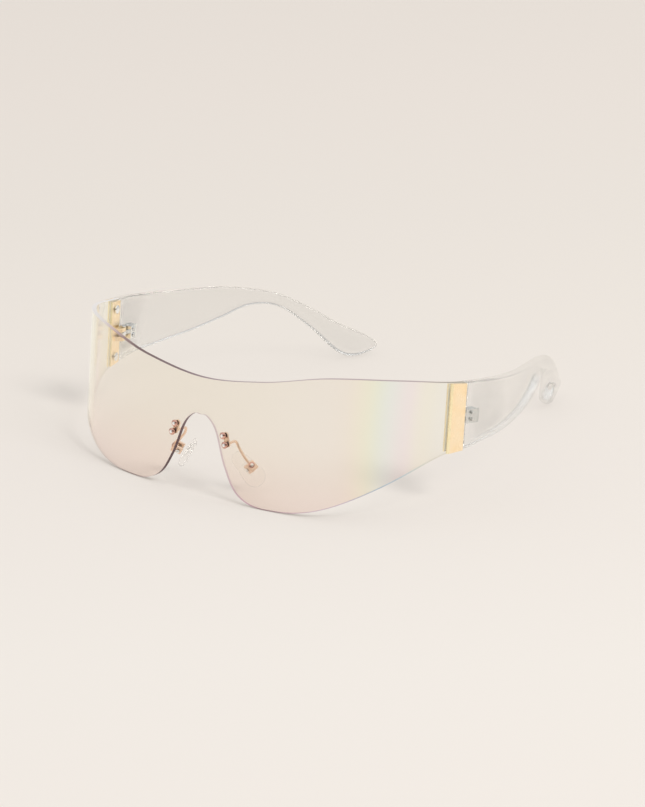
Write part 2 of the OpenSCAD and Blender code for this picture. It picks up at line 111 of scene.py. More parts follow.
class Bench:
    """Adds nodes to a tree and joins them."""

    def __init__(self, tree: bpy.types.NodeTree) -> None:
        """Clears a shader, world or geometry tree and takes it up."""
        self.tree = tree
        tree.nodes.clear()

    def add(
        self, kind: str, inputs: dict[int | str, object] | None = None, **settings: object
    ) -> bpy.types.Node:
        """Adds one node.

        Args:
            kind: the node's type name.
            inputs: for each input's name or number, a value or the socket that feeds it. Colours are opaque.
            **settings: the node's own options.

        Returns:
            The new node.
        """
        node = self.tree.nodes.new(kind)
        for name, value in settings.items():
            setattr(node, name, value)
        for key, value in (inputs or {}).items():
            socket = node.inputs[key]
            if isinstance(value, bpy.types.NodeSocket):
                self.tree.links.new(value, socket)
            elif socket.type == "RGBA":
                socket.default_value = (*value, 1)
            else:
                socket.default_value = value
        return node

    def maths(self, operation: str, a: object, b: object = 0.0) -> bpy.types.NodeSocket:
        """The socket of two numbers, or of what their sockets give, joined by one operation."""
        return self.add("ShaderNodeMath", {0: a, 1: b}, operation=operation).outputs[0]

    def mix(self, share: object, a: object, b: object, blend: str = "MIX") -> bpy.types.NodeSocket:
        """The socket of two colours, or of what their sockets give, mixed with a share of the second."""
        # 6 and 7 are the node's two colours, and 2 is the mixed one.
        return self.add("ShaderNodeMix", {0: share, 6: a, 7: b}, data_type="RGBA", blend_type=blend).outputs[2]

    def ramp(
        self, share: bpy.types.NodeSocket, stops: Sequence[tuple[float, Colour]], curve: str = "LINEAR"
    ) -> bpy.types.NodeSocket:
        """Reads a colour off a run of stops.

        Args:
            share: the socket that gives the place along the run.
            stops: each stop's place and colour, in rising order.
            curve: how the colours between the stops are found.

        Returns:
            The colour's socket.
        """
        node = self.add("ShaderNodeValToRGB", {"Fac": share})
        band = node.color_ramp
        band.interpolation = curve
        for element, (place, colour) in zip(band.elements, (stops[0], stops[-1])):
            element.position = place
            element.color = (*colour, 1)
        for place, colour in stops[1:-1]:
            band.elements.new(place).color = (*colour, 1)
        return node.outputs["Color"]

    def spread(
        self, value: object, low: float, high: float, start: float = 0, end: float = 1
    ) -> bpy.types.NodeSocket:
        """Carries a number from the range of start and end to that of low and high, and holds it at their ends."""
        inputs = {"Value": value, "From Min": start, "From Max": end, "To Min": low, "To Max": high}
        return self.add("ShaderNodeMapRange", inputs).outputs["Result"]

    def vector(self, x: object = 0.0, y: object = 0.0, z: object = 0.0) -> bpy.types.NodeSocket:
        """Joins three numbers or their sockets to a vector."""
        return self.add("ShaderNodeCombineXYZ", {"X": x, "Y": y, "Z": z}).outputs[0]

    def parts(self, vector: bpy.types.NodeSocket) -> bpy.types.NodeOutputs:
        """The sockets of a vector's X, Y and Z."""
        return self.add("ShaderNodeSeparateXYZ", {0: vector}).outputs

    def reach(self, vector: bpy.types.NodeSocket, way: Vector) -> bpy.types.NodeSocket:
        """How far a vector reaches along a way of length 1."""
        return self.add("ShaderNodeVectorMath", {0: vector, 1: way}, operation="DOT_PRODUCT").outputs["Value"]

    def clear(self, colour: object) -> bpy.types.NodeSocket:
        """A shader that lets light straight through, in a colour or its socket's."""
        return self.add("ShaderNodeBsdfTransparent", {"Color": colour}).outputs[0]

    def layers(
        self, body: bpy.types.NodeSocket, others: Sequence[tuple[bpy.types.NodeSocket, bpy.types.NodeSocket]]
    ) -> bpy.types.NodeSocket:
        """Lays further shaders over one.

        Args:
            body: the first shader's socket.
            others: the share and the shader of each further one, the last on top.

        Returns:
            The whole shader's socket.
        """
        for share, other in others:
            body = self.add("ShaderNodeMixShader", {0: share, 1: body, 2: other}).outputs[0]
        return body

    def place(self) -> bpy.types.NodeSocket:
        """The place on the piece, in metres."""
        return self.add("ShaderNodeTexCoord").outputs["Object"]

    def cloud(self, scale: float, detail: float = 3, stretch: Triple = (1, 1, 1)) -> bpy.types.NodeSocket:
        """The socket of a soft random pattern, from 0 to 1, with its patches to a metre and its finer patterns."""
        where = self.add("ShaderNodeMapping", {"Vector": self.place(), "Scale": stretch}).outputs[0]
        return self.add("ShaderNodeTexNoise", {"Vector": where, "Scale": scale, "Detail": detail}).outputs[0]


@dataclass(frozen=True)
class Finish:
    """The surface of one kind of piece.

    Attributes:
        name: the material's name.
        slot: the record's material slot that it stands for; not used.
    """

    name: str
    slot: str

    def material(self) -> bpy.types.Material:
        """Makes the finish's material.

        Returns:
            The material, made once.
        """
        made = bpy.data.materials.get(self.name)
        if made is None:
            made = bpy.data.materials.new(self.name)
            made.use_nodes = True
            bench = Bench(made.node_tree)
            bench.add("ShaderNodeOutputMaterial", {"Surface": self.shade(bench)})
        return made

    def shade(self, bench: Bench) -> bpy.types.NodeSocket:
        """Builds the finish's nodes and gives the shader's socket."""
        raise NotImplementedError


@dataclass(frozen=True)
class MetalFinish(Finish):
    """Plated metal with cloudy polish and fine wiping marks.

    Attributes:
        colour: the plating's colour.
        worn: the colour that it drifts to in patches.
        roughness: its mean roughness.
        spread: how far the roughness strays from that.
        patches: how many cloudy patches there are in a metre.
        marks: how many wiping marks there are in a metre.
        drawn: how the marks' scale differs along each axis.
        relief: how high the marks stand.
        strength: how much of that shows.
        wear: the pattern's values between which the worn colour comes in.
    """

    colour: Colour
    worn: Colour
    roughness: float = 0.16
    spread: float = 0.05
    patches: float = 260
    marks: float = 2600
    drawn: Triple = (1, 1, 0.12)
    relief: float = 0.002 * MM
    strength: float = 0.5
    wear: Pair = (0.35, 0.7)

    def shade(self, bench: Bench) -> bpy.types.NodeSocket:
        """Builds the metal's nodes.

        Args:
            bench: the tree that they go into.

        Returns:
            The shader's socket.
        """
        cloud = bench.cloud(self.patches)
        grain = bench.cloud(self.marks, detail=2, stretch=self.drawn)
        colour = bench.mix(bench.spread(cloud, 0, 1, *self.wear), self.colour, self.worn)
        rough = bench.spread(grain, self.roughness - self.spread, self.roughness + self.spread, *NOISE)
        bump = bench.add("ShaderNodeBump", {"Height": grain, "Distance": self.relief, "Strength": self.strength})
        inputs = {"Base Color": colour, "Metallic": 1.0, "Roughness": rough, "Normal": bump.outputs[0]}
        return bench.add("ShaderNodeBsdfPrincipled", inputs).outputs[0]


@dataclass(frozen=True)
class MattFinish(Finish):
    """The matt side of plated metal, where it lies on the lens, painted pale to lift the shade in the narrow gap
    there.

    Attributes:
        colour: its colour.
        worn: the colour that it drifts to in patches.
        patches: how many patches there are in a metre.
        roughness: how much it blurs.
    """

    colour: Colour
    worn: Colour
    patches: float = 900
    roughness: float = 0.6

    def shade(self, bench: Bench) -> bpy.types.NodeSocket:
        """Builds the matt side's nodes and gives the shader's socket."""
        colour = bench.mix(bench.cloud(self.patches), self.colour, self.worn)
        return bench.add("ShaderNodeBsdfPrincipled", {"Base Color": colour, "Roughness": self.roughness}).outputs[0]


@dataclass(frozen=True)
class ClearFinish(Finish):
    """Clear plastic that lamps shine through.

    Attributes:
        colour: what a wall of it lets through.
        haze: the colour in its cloudier patches.
        roughness: how much it blurs.
        ior: how strongly it bends light.
        passes: what one face lets through to the ground behind.
        rim: what a face lets through where the light grazes it.
        ease: how much of the bending is taken off where the face is seen square on, and at a graze.
        ease_turn: how far the face turns away where the first gives way to the second, and where it ends.
        rim_turn: how far it turns away where the rim's colour comes in, and where it is full.
        patches: how many cloudy patches there are in a metre.
        waves: how many moulding waves there are in a metre.
        relief: how high the waves stand.
        mirrored: after how many mirrorings light goes straight on.
        bent: after how many turns of any kind it does.
    """

    colour: Colour = (0.93, 0.93, 0.92)
    haze: Colour = (0.9, 0.9, 0.89)
    roughness: float = 0.03
    ior: float = 1.49
    passes: Colour = (0.95, 0.95, 0.95)
    rim: Colour = (0.72, 0.71, 0.7)
    ease: Pair = (0, 0)
    ease_turn: Pair = (0.3, 0.62)
    rim_turn: Pair = (0.6, 0.98)
    patches: float = 60
    waves: float = 90
    relief: float = 0.02 * MM
    mirrored: float = 2.5
    bent: float = 8.5

    def tint(self, bench: Bench) -> bpy.types.NodeSocket:
        """The socket of the colour that the wall lets through, over its surface."""
        return bench.mix(bench.cloud(self.patches), self.colour, self.haze)

    def shade(self, bench: Bench) -> bpy.types.NodeSocket:
        """Builds the plastic's nodes.

        Args:
            bench: the tree that they go into.

        Returns:
            The shader's socket.
        """
        waves = bench.cloud(self.waves, detail=1)
        bump = bench.add("ShaderNodeBump", {"Height": waves, "Distance": self.relief})
        inputs = {
            "Base Color": self.tint(bench),
            "Roughness": self.roughness,
            "IOR": self.ior,
            "Transmission Weight": 1.0,
            "Normal": bump.outputs[0],
        }
        body = bench.add("ShaderNodeBsdfPrincipled", inputs).outputs[0]
        path = bench.add("ShaderNodeLightPath").outputs
        facing = bench.add("ShaderNodeLayerWeight", {"Blend": 0.5}).outputs["Facing"]
        graze = bench.spread(facing, *self.ease, *self.ease_turn)
        soft = bench.clear([share**0.5 for share in self.colour])
        trapped = bench.maths(
            "MAXIMUM",
            bench.maths("GREATER_THAN", path["Glossy Depth"], self.mirrored),
            bench.maths("GREATER_THAN", path["Ray Depth"], self.bent),
        )
        through = bench.clear(bench.mix(bench.spread(facing, 0, 1, *self.rim_turn), self.passes, self.rim))
        straight = [(path[f"Is {kind} Ray"], through) for kind in ("Shadow", "Diffuse")]
        return bench.layers(body, [(graze, soft), (trapped, bench.clear(self.passes)), *straight])


@dataclass(frozen=True)
class FilmFinish(ClearFinish):
    """The lens's own finish: clear, with a rainbow film whose hue shifts along the curve and up the lens.

    Attributes:
        bands: the film's hue at places along half the lens, from its middle to its end.
        rises: the film's hue at places up the lens.
        drift: how far the bands stray, as a share of half the lens.
        strays: how often they do so in a metre.
    """

    bands: Stops = ()
    rises: Stops = ()
    drift: float = 0.02
    strays: float = 18

    def tint(self, bench: Bench) -> bpy.types.NodeSocket:
        """The film's hue over the lens.

        Args:
            bench: the tree that its nodes go into.

        Returns:
            The colour's socket.
        """
        stray = bench.spread(bench.cloud(self.strays, detail=1), -self.drift, self.drift, *NOISE)
        band, rise = (
            bench.ramp(
                bench.maths("ADD", bench.add("ShaderNodeAttribute", attribute_name=name).outputs["Fac"], stray),
                stops,
                "B_SPLINE",
            )
            for name, stops in ((ALONG, self.bands), (UP, self.rises))
        )
        return bench.mix(1.0, rise, band, "MULTIPLY")


@dataclass(frozen=True)
class EdgeFinish(Finish):
    """The polished edge of the lens, a thin dull line with painted light and shade: its colour changes across the
    lens, and from its lower edge to its upper, as light falls on it and through the lens.

    Attributes:
        high: the upper edge's colour, painted with its light and shade, at places across the lens, from its left end
            to its right end.
        low: the lower edge's colour, painted with its light and shade, at such places.
        within: the painted tint of the light that the lower edge lets through at such places, seen from inside the
            lens.
        clear: what the upper edge lets through, seen from there.
        passes: what the whole edge lets through to the ground.
        reach: how far the ends lie from the middle.
        change: the heights between which the lower edge's painted colour gives way to the upper edge's.
        roughness: how much it blurs.
        shine: how strongly it mirrors.
    """

    high: Stops
    low: Stops
    within: Stops
    clear: Colour = (0.92, 0.91, 0.9)
    passes: Colour = (0.5, 0.48, 0.46)
    reach: float = 76 * MM
    change: Pair = (29 * MM, 32 * MM)
    roughness: float = 0.35
    shine: float = 0.2

    def shade(self, bench: Bench) -> bpy.types.NodeSocket:
        """Builds the edge's nodes.

        Args:
            bench: the tree that they go into.

        Returns:
            The shader's socket.
        """
        # Painted light and shade: the edge's colours are read off tables by its place across the lens and by its
        # height.
        where = bench.parts(bench.place())
        across = bench.spread(where["X"], 0, 1, -self.reach, self.reach)
        low, high, within = (
            bench.ramp(across, [((place * MM / self.reach + 1) / 2, colour) for place, colour in stops])
            for stops in (self.low, self.high, self.within)
        )
        upper = bench.spread(where["Z"], 0, 1, *self.change)
        inputs = {
            "Base Color": bench.mix(upper, low, high),
            "Roughness": self.roughness,
            "Specular IOR Level": self.shine,
        }
        body = bench.add("ShaderNodeBsdfPrincipled", inputs).outputs[0]
        shown = bench.clear(bench.mix(upper, within, self.clear))
        light = bench.clear(self.passes)
        path = bench.add("ShaderNodeLightPath").outputs
        back = bench.add("ShaderNodeNewGeometry").outputs["Backfacing"]
        inside = bench.maths("MULTIPLY", path["Is Transmission Ray"], back)
        straight = [(path[f"Is {kind} Ray"], light) for kind in ("Shadow", "Diffuse")]
        return bench.layers(body, [(inside, shown), *straight])


@dataclass(frozen=True)
class PaperFinish(Finish):
    """The matt ground, with painted shade: its colour changes a little away from the camera as the light on it falls
    off.

    Attributes:
        stops: its colour, painted with that shade, at places along the view, from the near end to the far end.
        reach: the places of those two ends, from the origin.
        azimuth: the direction that the camera looks along.
        gleam: how much brighter polished pieces show it, as a painted reflection.
        roughness: how much it blurs.
        shine: how strongly it mirrors.
    """

    stops: Stops = ()
    reach: Pair = (-350 * MM, 700 * MM)
    azimuth: float = 0
    gleam: float = 1.12
    roughness: float = 0.9
    shine: float = 0.1

    def shade(self, bench: Bench) -> bpy.types.NodeSocket:
        """Builds the ground's nodes.

        Args:
            bench: the tree that they go into.

        Returns:
            The shader's socket.
        """
        turned = bench.add("ShaderNodeMapping", {"Vector": bench.place(), "Rotation": (0, 0, -self.azimuth)})
        away = bench.parts(turned.outputs[0])["Y"]
        start, end = self.reach
        places = [((place * MM - start) / (end - start), colour) for place, colour in self.stops]
        paper = bench.ramp(bench.spread(away, 0, 1, start, end), places)
        path = bench.add("ShaderNodeLightPath").outputs
        # Painted reflection: glossy rays that mirror the ground see it brighter than its own colour, by gleam.
        mirrored = bench.maths("MULTIPLY", path["Is Glossy Ray"], path["Is Reflection Ray"])
        paper = bench.mix(mirrored, paper, bench.mix(1.0, paper, (self.gleam,) * 3, "MULTIPLY"))
        inputs = {"Base Color": paper, "Roughness": self.roughness, "Specular IOR Level": self.shine}
        return bench.add("ShaderNodeBsdfPrincipled", inputs).outputs[0]


GOLD = MetalFinish("pale_gold", "gold", (1.0, 0.84, 0.6), (1.0, 0.8, 0.52), 0.3)
# Painted light: the sides that lie on the lens take a pale matt gold, lightened to lift the shade in the gaps between
# the plate, the strip and the lens.
GOLD_BACK_PAINTED_LIGHT = MattFinish("matt_gold", "gold", (1.0, 0.96, 0.86), (1.0, 0.94, 0.8))
# Painted highlight: a lighter copy of the gold for the plate's bevel and the strip's front.
GOLD_PAINTED_HIGHLIGHT = MetalFinish("bright_gold", "gold", (1.0, 0.91, 0.62), (1.0, 0.87, 0.55), 0.25)
ROSE_GOLD = MetalFinish("rose_gold", "rose_gold", (0.86, 0.55, 0.4), (0.8, 0.48, 0.34), 0.24)
DARK_ROSE = MetalFinish("dark_rose_gold", "rose_gold", (0.68, 0.4, 0.32), (0.6, 0.34, 0.28), 0.2)
STEEL = MetalFinish("bright_steel", "steel", (0.88, 0.89, 0.88), (0.82, 0.83, 0.82), 0.18)
CRYSTAL = ClearFinish("crystal_plastic", "temple_clear", roughness=0.12, ior=1.37, ease=(0, 0.88))
BUSH = ClearFinish(
    "clear_bush", "bush_clear", (0.98, 0.98, 0.97), (0.96, 0.96, 0.95), 0.1, 1.15, ease=(0.85, 0.95)
)
SILICONE = ClearFinish(
    "clear_silicone", "silicone", (0.985, 0.98, 0.97), (0.965, 0.96, 0.95), 0.12, 1.12, ease=(0.5, 0.65)
)
FILM = FilmFinish(
    "rainbow_film",
    "lens_clear",
    roughness=0.0,
    ior=1.5,
    passes=(0.99, 0.995, 0.995),
    rim=(0.8, 0.78, 0.76),
    relief=0.0,
    bands=(
        (0, (0.98, 0.955, 0.905)), (0.3, (0.985, 0.96, 0.915)), (0.5, (0.985, 0.963, 0.94)),
        (0.575, (0.985, 0.95, 0.91)), (0.61, (0.997, 0.965, 0.885)), (0.65, (0.975, 1.0, 0.87)),
        (0.68, (0.94, 1.0, 0.92)), (0.715, (0.93, 0.995, 1.0)), (0.75, (0.97, 0.975, 1.0)),
        (0.79, (1.0, 0.945, 1.0)), (0.82, (1.0, 0.985, 0.965)), (0.86, (1.0, 1.0, 0.925)),
        (0.91, (0.99, 1.0, 0.98)), (1, (0.985, 1.0, 0.985)),
    ),
    rises=(
        (0, (0.96, 0.87, 0.85)), (0.12, (0.965, 0.88, 0.86)), (0.32, (0.974, 0.935, 0.9)),
        (0.55, (0.983, 0.977, 0.95)), (1, (0.99, 0.987, 0.96)),
    ),
)
# Painted light and shade: the edge is lighter or darker across the lens as light falls on it and through the lens.
EDGE_LIGHT_AND_SHADE = EdgeFinish(
    "lens_edge",
    "lens_clear",
    high=(
        (-76, (0.9, 0.87, 0.85)), (-60, (0.82, 0.79, 0.77)), (-50, (0.74, 0.69, 0.66)),
        (-42, seen(196, 174, 168)), (-36, seen(150, 126, 124)), (-29, seen(112, 88, 88)),
        (-10, seen(118, 94, 98)), (6, seen(158, 136, 142)), (40, seen(184, 164, 168)),
        (68, seen(176, 156, 158)), (73, seen(150, 142, 122)),
    ),
    low=(
        (-74, seen(204, 198, 188)), (-40, seen(168, 146, 142)), (-24, seen(150, 120, 122)),
        (-13, seen(84, 58, 60)), (-8, seen(100, 76, 78)), (-3, seen(156, 134, 142)),
        (34, seen(170, 148, 168)), (73, seen(190, 184, 170)),
    ),
    within=(
        (-74, (0.84, 0.83, 0.82)), (-50, (0.8, 0.79, 0.77)), (-34, (0.76, 0.7, 0.72)),
        (-18, (0.72, 0.56, 0.64)), (-3, (0.74, 0.67, 0.7)), (11, (0.73, 0.63, 0.7)),
        (22, (0.7, 0.5, 0.64)), (38, (0.66, 0.46, 0.62)), (52, (0.62, 0.5, 0.72)),
        (61, (0.52, 0.66, 0.84)), (66, (0.62, 0.78, 0.84)), (70, (0.86, 0.85, 0.8)),
        (73, (0.88, 0.86, 0.8)),
    ),
)


def spline(knots: Sequence[Sequence[float]], steps: int) -> np.ndarray:
    """A smooth line through knots.

    Args:
        knots: the points that it passes through.
        steps: how many points each stretch gets.

    Returns:
        The line's points, one a row.
    """
    held = np.array([knots[0], *knots, knots[-1]], float)
    t = (np.arange(steps) / steps)[:, None]
    a, b, c, d = held[:-3, None], held[1:-2, None], held[2:-1, None], held[3:, None]
    line = 0.5 * (2 * b + (c - a) * t + (2 * a - 5 * b + 4 * c - d) * t**2 + (3 * b - a - 3 * c + d) * t**3)
    return np.concatenate([line.reshape(-1, held.shape[1]), held[-1:]])


def table_at(shares: Sequence[float], place: np.ndarray) -> np.ndarray:
    """Reads a smooth table of shares.

    Args:
        shares: its values at even steps.
        place: where to read it, from 0 to 1.

    Returns:
        The value at each place.
    """
    steps = 40
    line = spline([[x] for x in shares], steps)[:, 0]
    return np.interp(place, np.linspace(0, 1, len(line)), line)


def put(name: str, data: bpy.types.ID) -> bpy.types.Object:
    """Makes an object and puts it in the scene.

    Args:
        name: the object's name.
        data: its mesh, lamp or camera.

    Returns:
        The object.
    """
    made = bpy.data.objects.new(name, data)
    bpy.context.scene.collection.objects.link(made)
    return made


@contextmanager
def reshaping(mesh: bpy.types.Mesh) -> Iterator[bmesh.types.BMesh]:
    """Lends out a mesh's form to be changed, and writes it back.

    Args:
        mesh: the mesh.

    Yields:
        Its form.
    """
    form = bmesh.new()
    form.from_mesh(mesh)
    yield form
    form.to_mesh(mesh)
    form.free()


def smooth(piece: bpy.types.Object, angle: float = SHARP) -> None:
    """Smooths a piece's faces, apart from those that meet at more than an angle in degrees."""
    piece.data.shade_smooth()
    piece.data.set_sharp_from_angle(angle=math.radians(angle))


def new_piece(name: str, points: np.ndarray, faces: Sequence[Sequence[int]]) -> bpy.types.Object:
    """Makes an object of a mesh.

    Args:
        name: the piece's name.
        points: its corners.
        faces: the corner numbers of each face.

    Returns:
        The object, in the scene.
    """
    mesh = bpy.data.meshes.new(name)
    mesh.from_pydata([tuple(p) for p in points], [], [tuple(f) for f in faces])
    return put(name, mesh)


def loft(name: str, rings: np.ndarray) -> bpy.types.Object:
    """Makes a closed skin over a run of rings.

    Args:
        name: the piece's name.
        rings: the points of each ring, all with as many.

    Returns:
        The skin, with its faces outwards.
    """
    count, around, _ = rings.shape
    faces = [
        (i * around + j, i * around + (j + 1) % around, (i + 1) * around + (j + 1) % around, (i + 1) * around + j)
        for i in range(count - 1)
        for j in range(around)
    ]
    faces.append(tuple(reversed(range(around))))
    faces.append(tuple(range((count - 1) * around, count * around)))
    piece = new_piece(name, rings.reshape(-1, 3), faces)
    face_outwards(piece)
    return piece


def settle(piece: bpy.types.Object) -> None:
    """Works a piece's modifiers into its mesh.

    Args:
        piece: the piece.
    """
    shapes = bpy.context.evaluated_depsgraph_get()
    mesh = bpy.data.meshes.new_from_object(
        piece.evaluated_get(shapes), preserve_all_data_layers=True, depsgraph=shapes
    )
    piece.modifiers.clear()
    piece.data = mesh


def face_outwards(piece: bpy.types.Object) -> None:
    """Merges a piece's doubled corners and turns its faces outwards.

    Args:
        piece: the piece, a closed mesh.
    """
    with reshaping(piece.data) as form:
        bmesh.ops.remove_doubles(form, verts=form.verts, dist=WELD)
        bmesh.ops.recalc_face_normals(form, faces=form.faces)
        if form.calc_volume(signed=True) < 0:
            bmesh.ops.reverse_faces(form, faces=form.faces)


def move(piece: bpy.types.Object, place: Matrix) -> None:
    """Takes a closed piece's mesh to its place, with its faces outwards on either side."""
    piece.data.transform(place)
    face_outwards(piece)


def round_edges(piece: bpy.types.Object, width: float, segments: int = 2, angle: float = 32) -> None:
    """Rounds a piece's sharp edges and smooths the rest.

    Args:
        piece: the piece.
        width: how wide the rounding is.
        segments: how many faces it has across.
        angle: the least angle in degrees between two faces that are rounded.
    """
    bevel = piece.modifiers.new("rounding", "BEVEL")
    bevel.width = width
    bevel.segments = segments
    bevel.limit_method = "ANGLE"
    bevel.angle_limit = math.radians(angle)
    piece.data.shade_smooth()
    even = piece.modifiers.new("even_normals", "WEIGHTED_NORMAL")
    even.keep_sharp = True
    settle(piece)


def drill(piece: bpy.types.Object, cutters: Sequence[bpy.types.Object]) -> None:
    """Cuts forms out of a piece and removes them.

    Args:
        piece: the piece.
        cutters: the forms, which don't touch each other.
    """
    for number, cutter in enumerate(cutters):
        hole = piece.modifiers.new(f"hole_{number}", "BOOLEAN")
        hole.operation = "DIFFERENCE"
        hole.solver = "EXACT"
        hole.object = cutter
    settle(piece)
    for cutter in cutters:
        bpy.data.objects.remove(cutter)


def rod(name: str, radius: float, start: Vector, end: Vector, sides: int = 48) -> bpy.types.Object:
    """A round bar between two points, to cut with.

    Args:
        name: its name.
        radius: its radius.
        start: the middle of one end.
        end: the middle of the other.
        sides: how many sides it has.

    Returns:
        The bar.
    """
    way = end - start
    mesh = bpy.data.meshes.new(name)
    with reshaping(mesh) as form:
        bmesh.ops.create_cone(
            form, cap_ends=True, segments=sides, radius1=radius, radius2=radius, depth=way.length
        )
    turn = way.to_track_quat("Z", "Y").to_matrix().to_4x4()
    mesh.transform(Matrix.Translation((start + end) / 2) @ turn)
    return put(name, mesh)


def prism(name: str, outline: Sequence[Pair], low: float, high: float) -> bpy.types.Object:
    """An upright bar between two heights, from its outline's corners as X and Y."""
    return loft(name, np.array([[(x, y, z) for x, y in outline] for z in (low, high)]))


def dress(
    piece: bpy.types.Object, body: str, finish: Finish, nodes: Sequence[str], extra: Sequence[Finish] = ()
) -> bpy.types.Object:
    """Gives a finished piece its materials and its body, and hides the frame's nodes that it stands for.

    Args:
        piece: the piece, in place.
        body: the body that it moves with.
        finish: its main finish.
        nodes: the frame's nodes that it stands for.
        extra: the finishes of its further material slots.

    Returns:
        The same piece.
    """
    piece.data.materials.clear()
    for each in (finish, *extra):
        piece.data.materials.append(each.material())
    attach(piece, body)
    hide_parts(*nodes)
    log.info("%s: %d faces, on %s", piece.name, len(piece.data.polygons), body)
    return piece


def finish_sides(piece: bpy.types.Object, ways: dict[int, Vector], spread: float = 0.93) -> None:
    """Gives a dressed piece's further finishes to the faces that face certain ways.

    Args:
        piece: the piece.
        ways: for a finish's number, the way that its faces face.
        spread: the least share of it that a face's normal has.
    """
    numbers = np.zeros(len(piece.data.polygons), np.int32)
    normals = np.array([face.normal for face in piece.data.polygons])
    for number, way in ways.items():
        numbers[normals @ np.array(way.normalized()) > spread] = number
    piece.data.polygons.foreach_set("material_index", numbers)


def polished(node: str, name: str, width: float, flat: float = 0.6) -> bpy.types.Object:
    """A copy of a node of the frame with its edges broken.

    Args:
        node: the node.
        name: the copy's name.
        width: how wide its broken edges are.
        flat: the angle in degrees up to which its faces count as one.

    Returns:
        The copy.
    """
    mesh = frame["nodes"][node].data.copy()
    mesh.name = name
    piece = put(name, mesh)
    with reshaping(mesh) as form:
        bmesh.ops.remove_doubles(form, verts=form.verts, dist=WELD)
        bmesh.ops.dissolve_limit(form, angle_limit=math.radians(flat), verts=form.verts, edges=form.edges)
    round_edges(piece, width)
    return piece


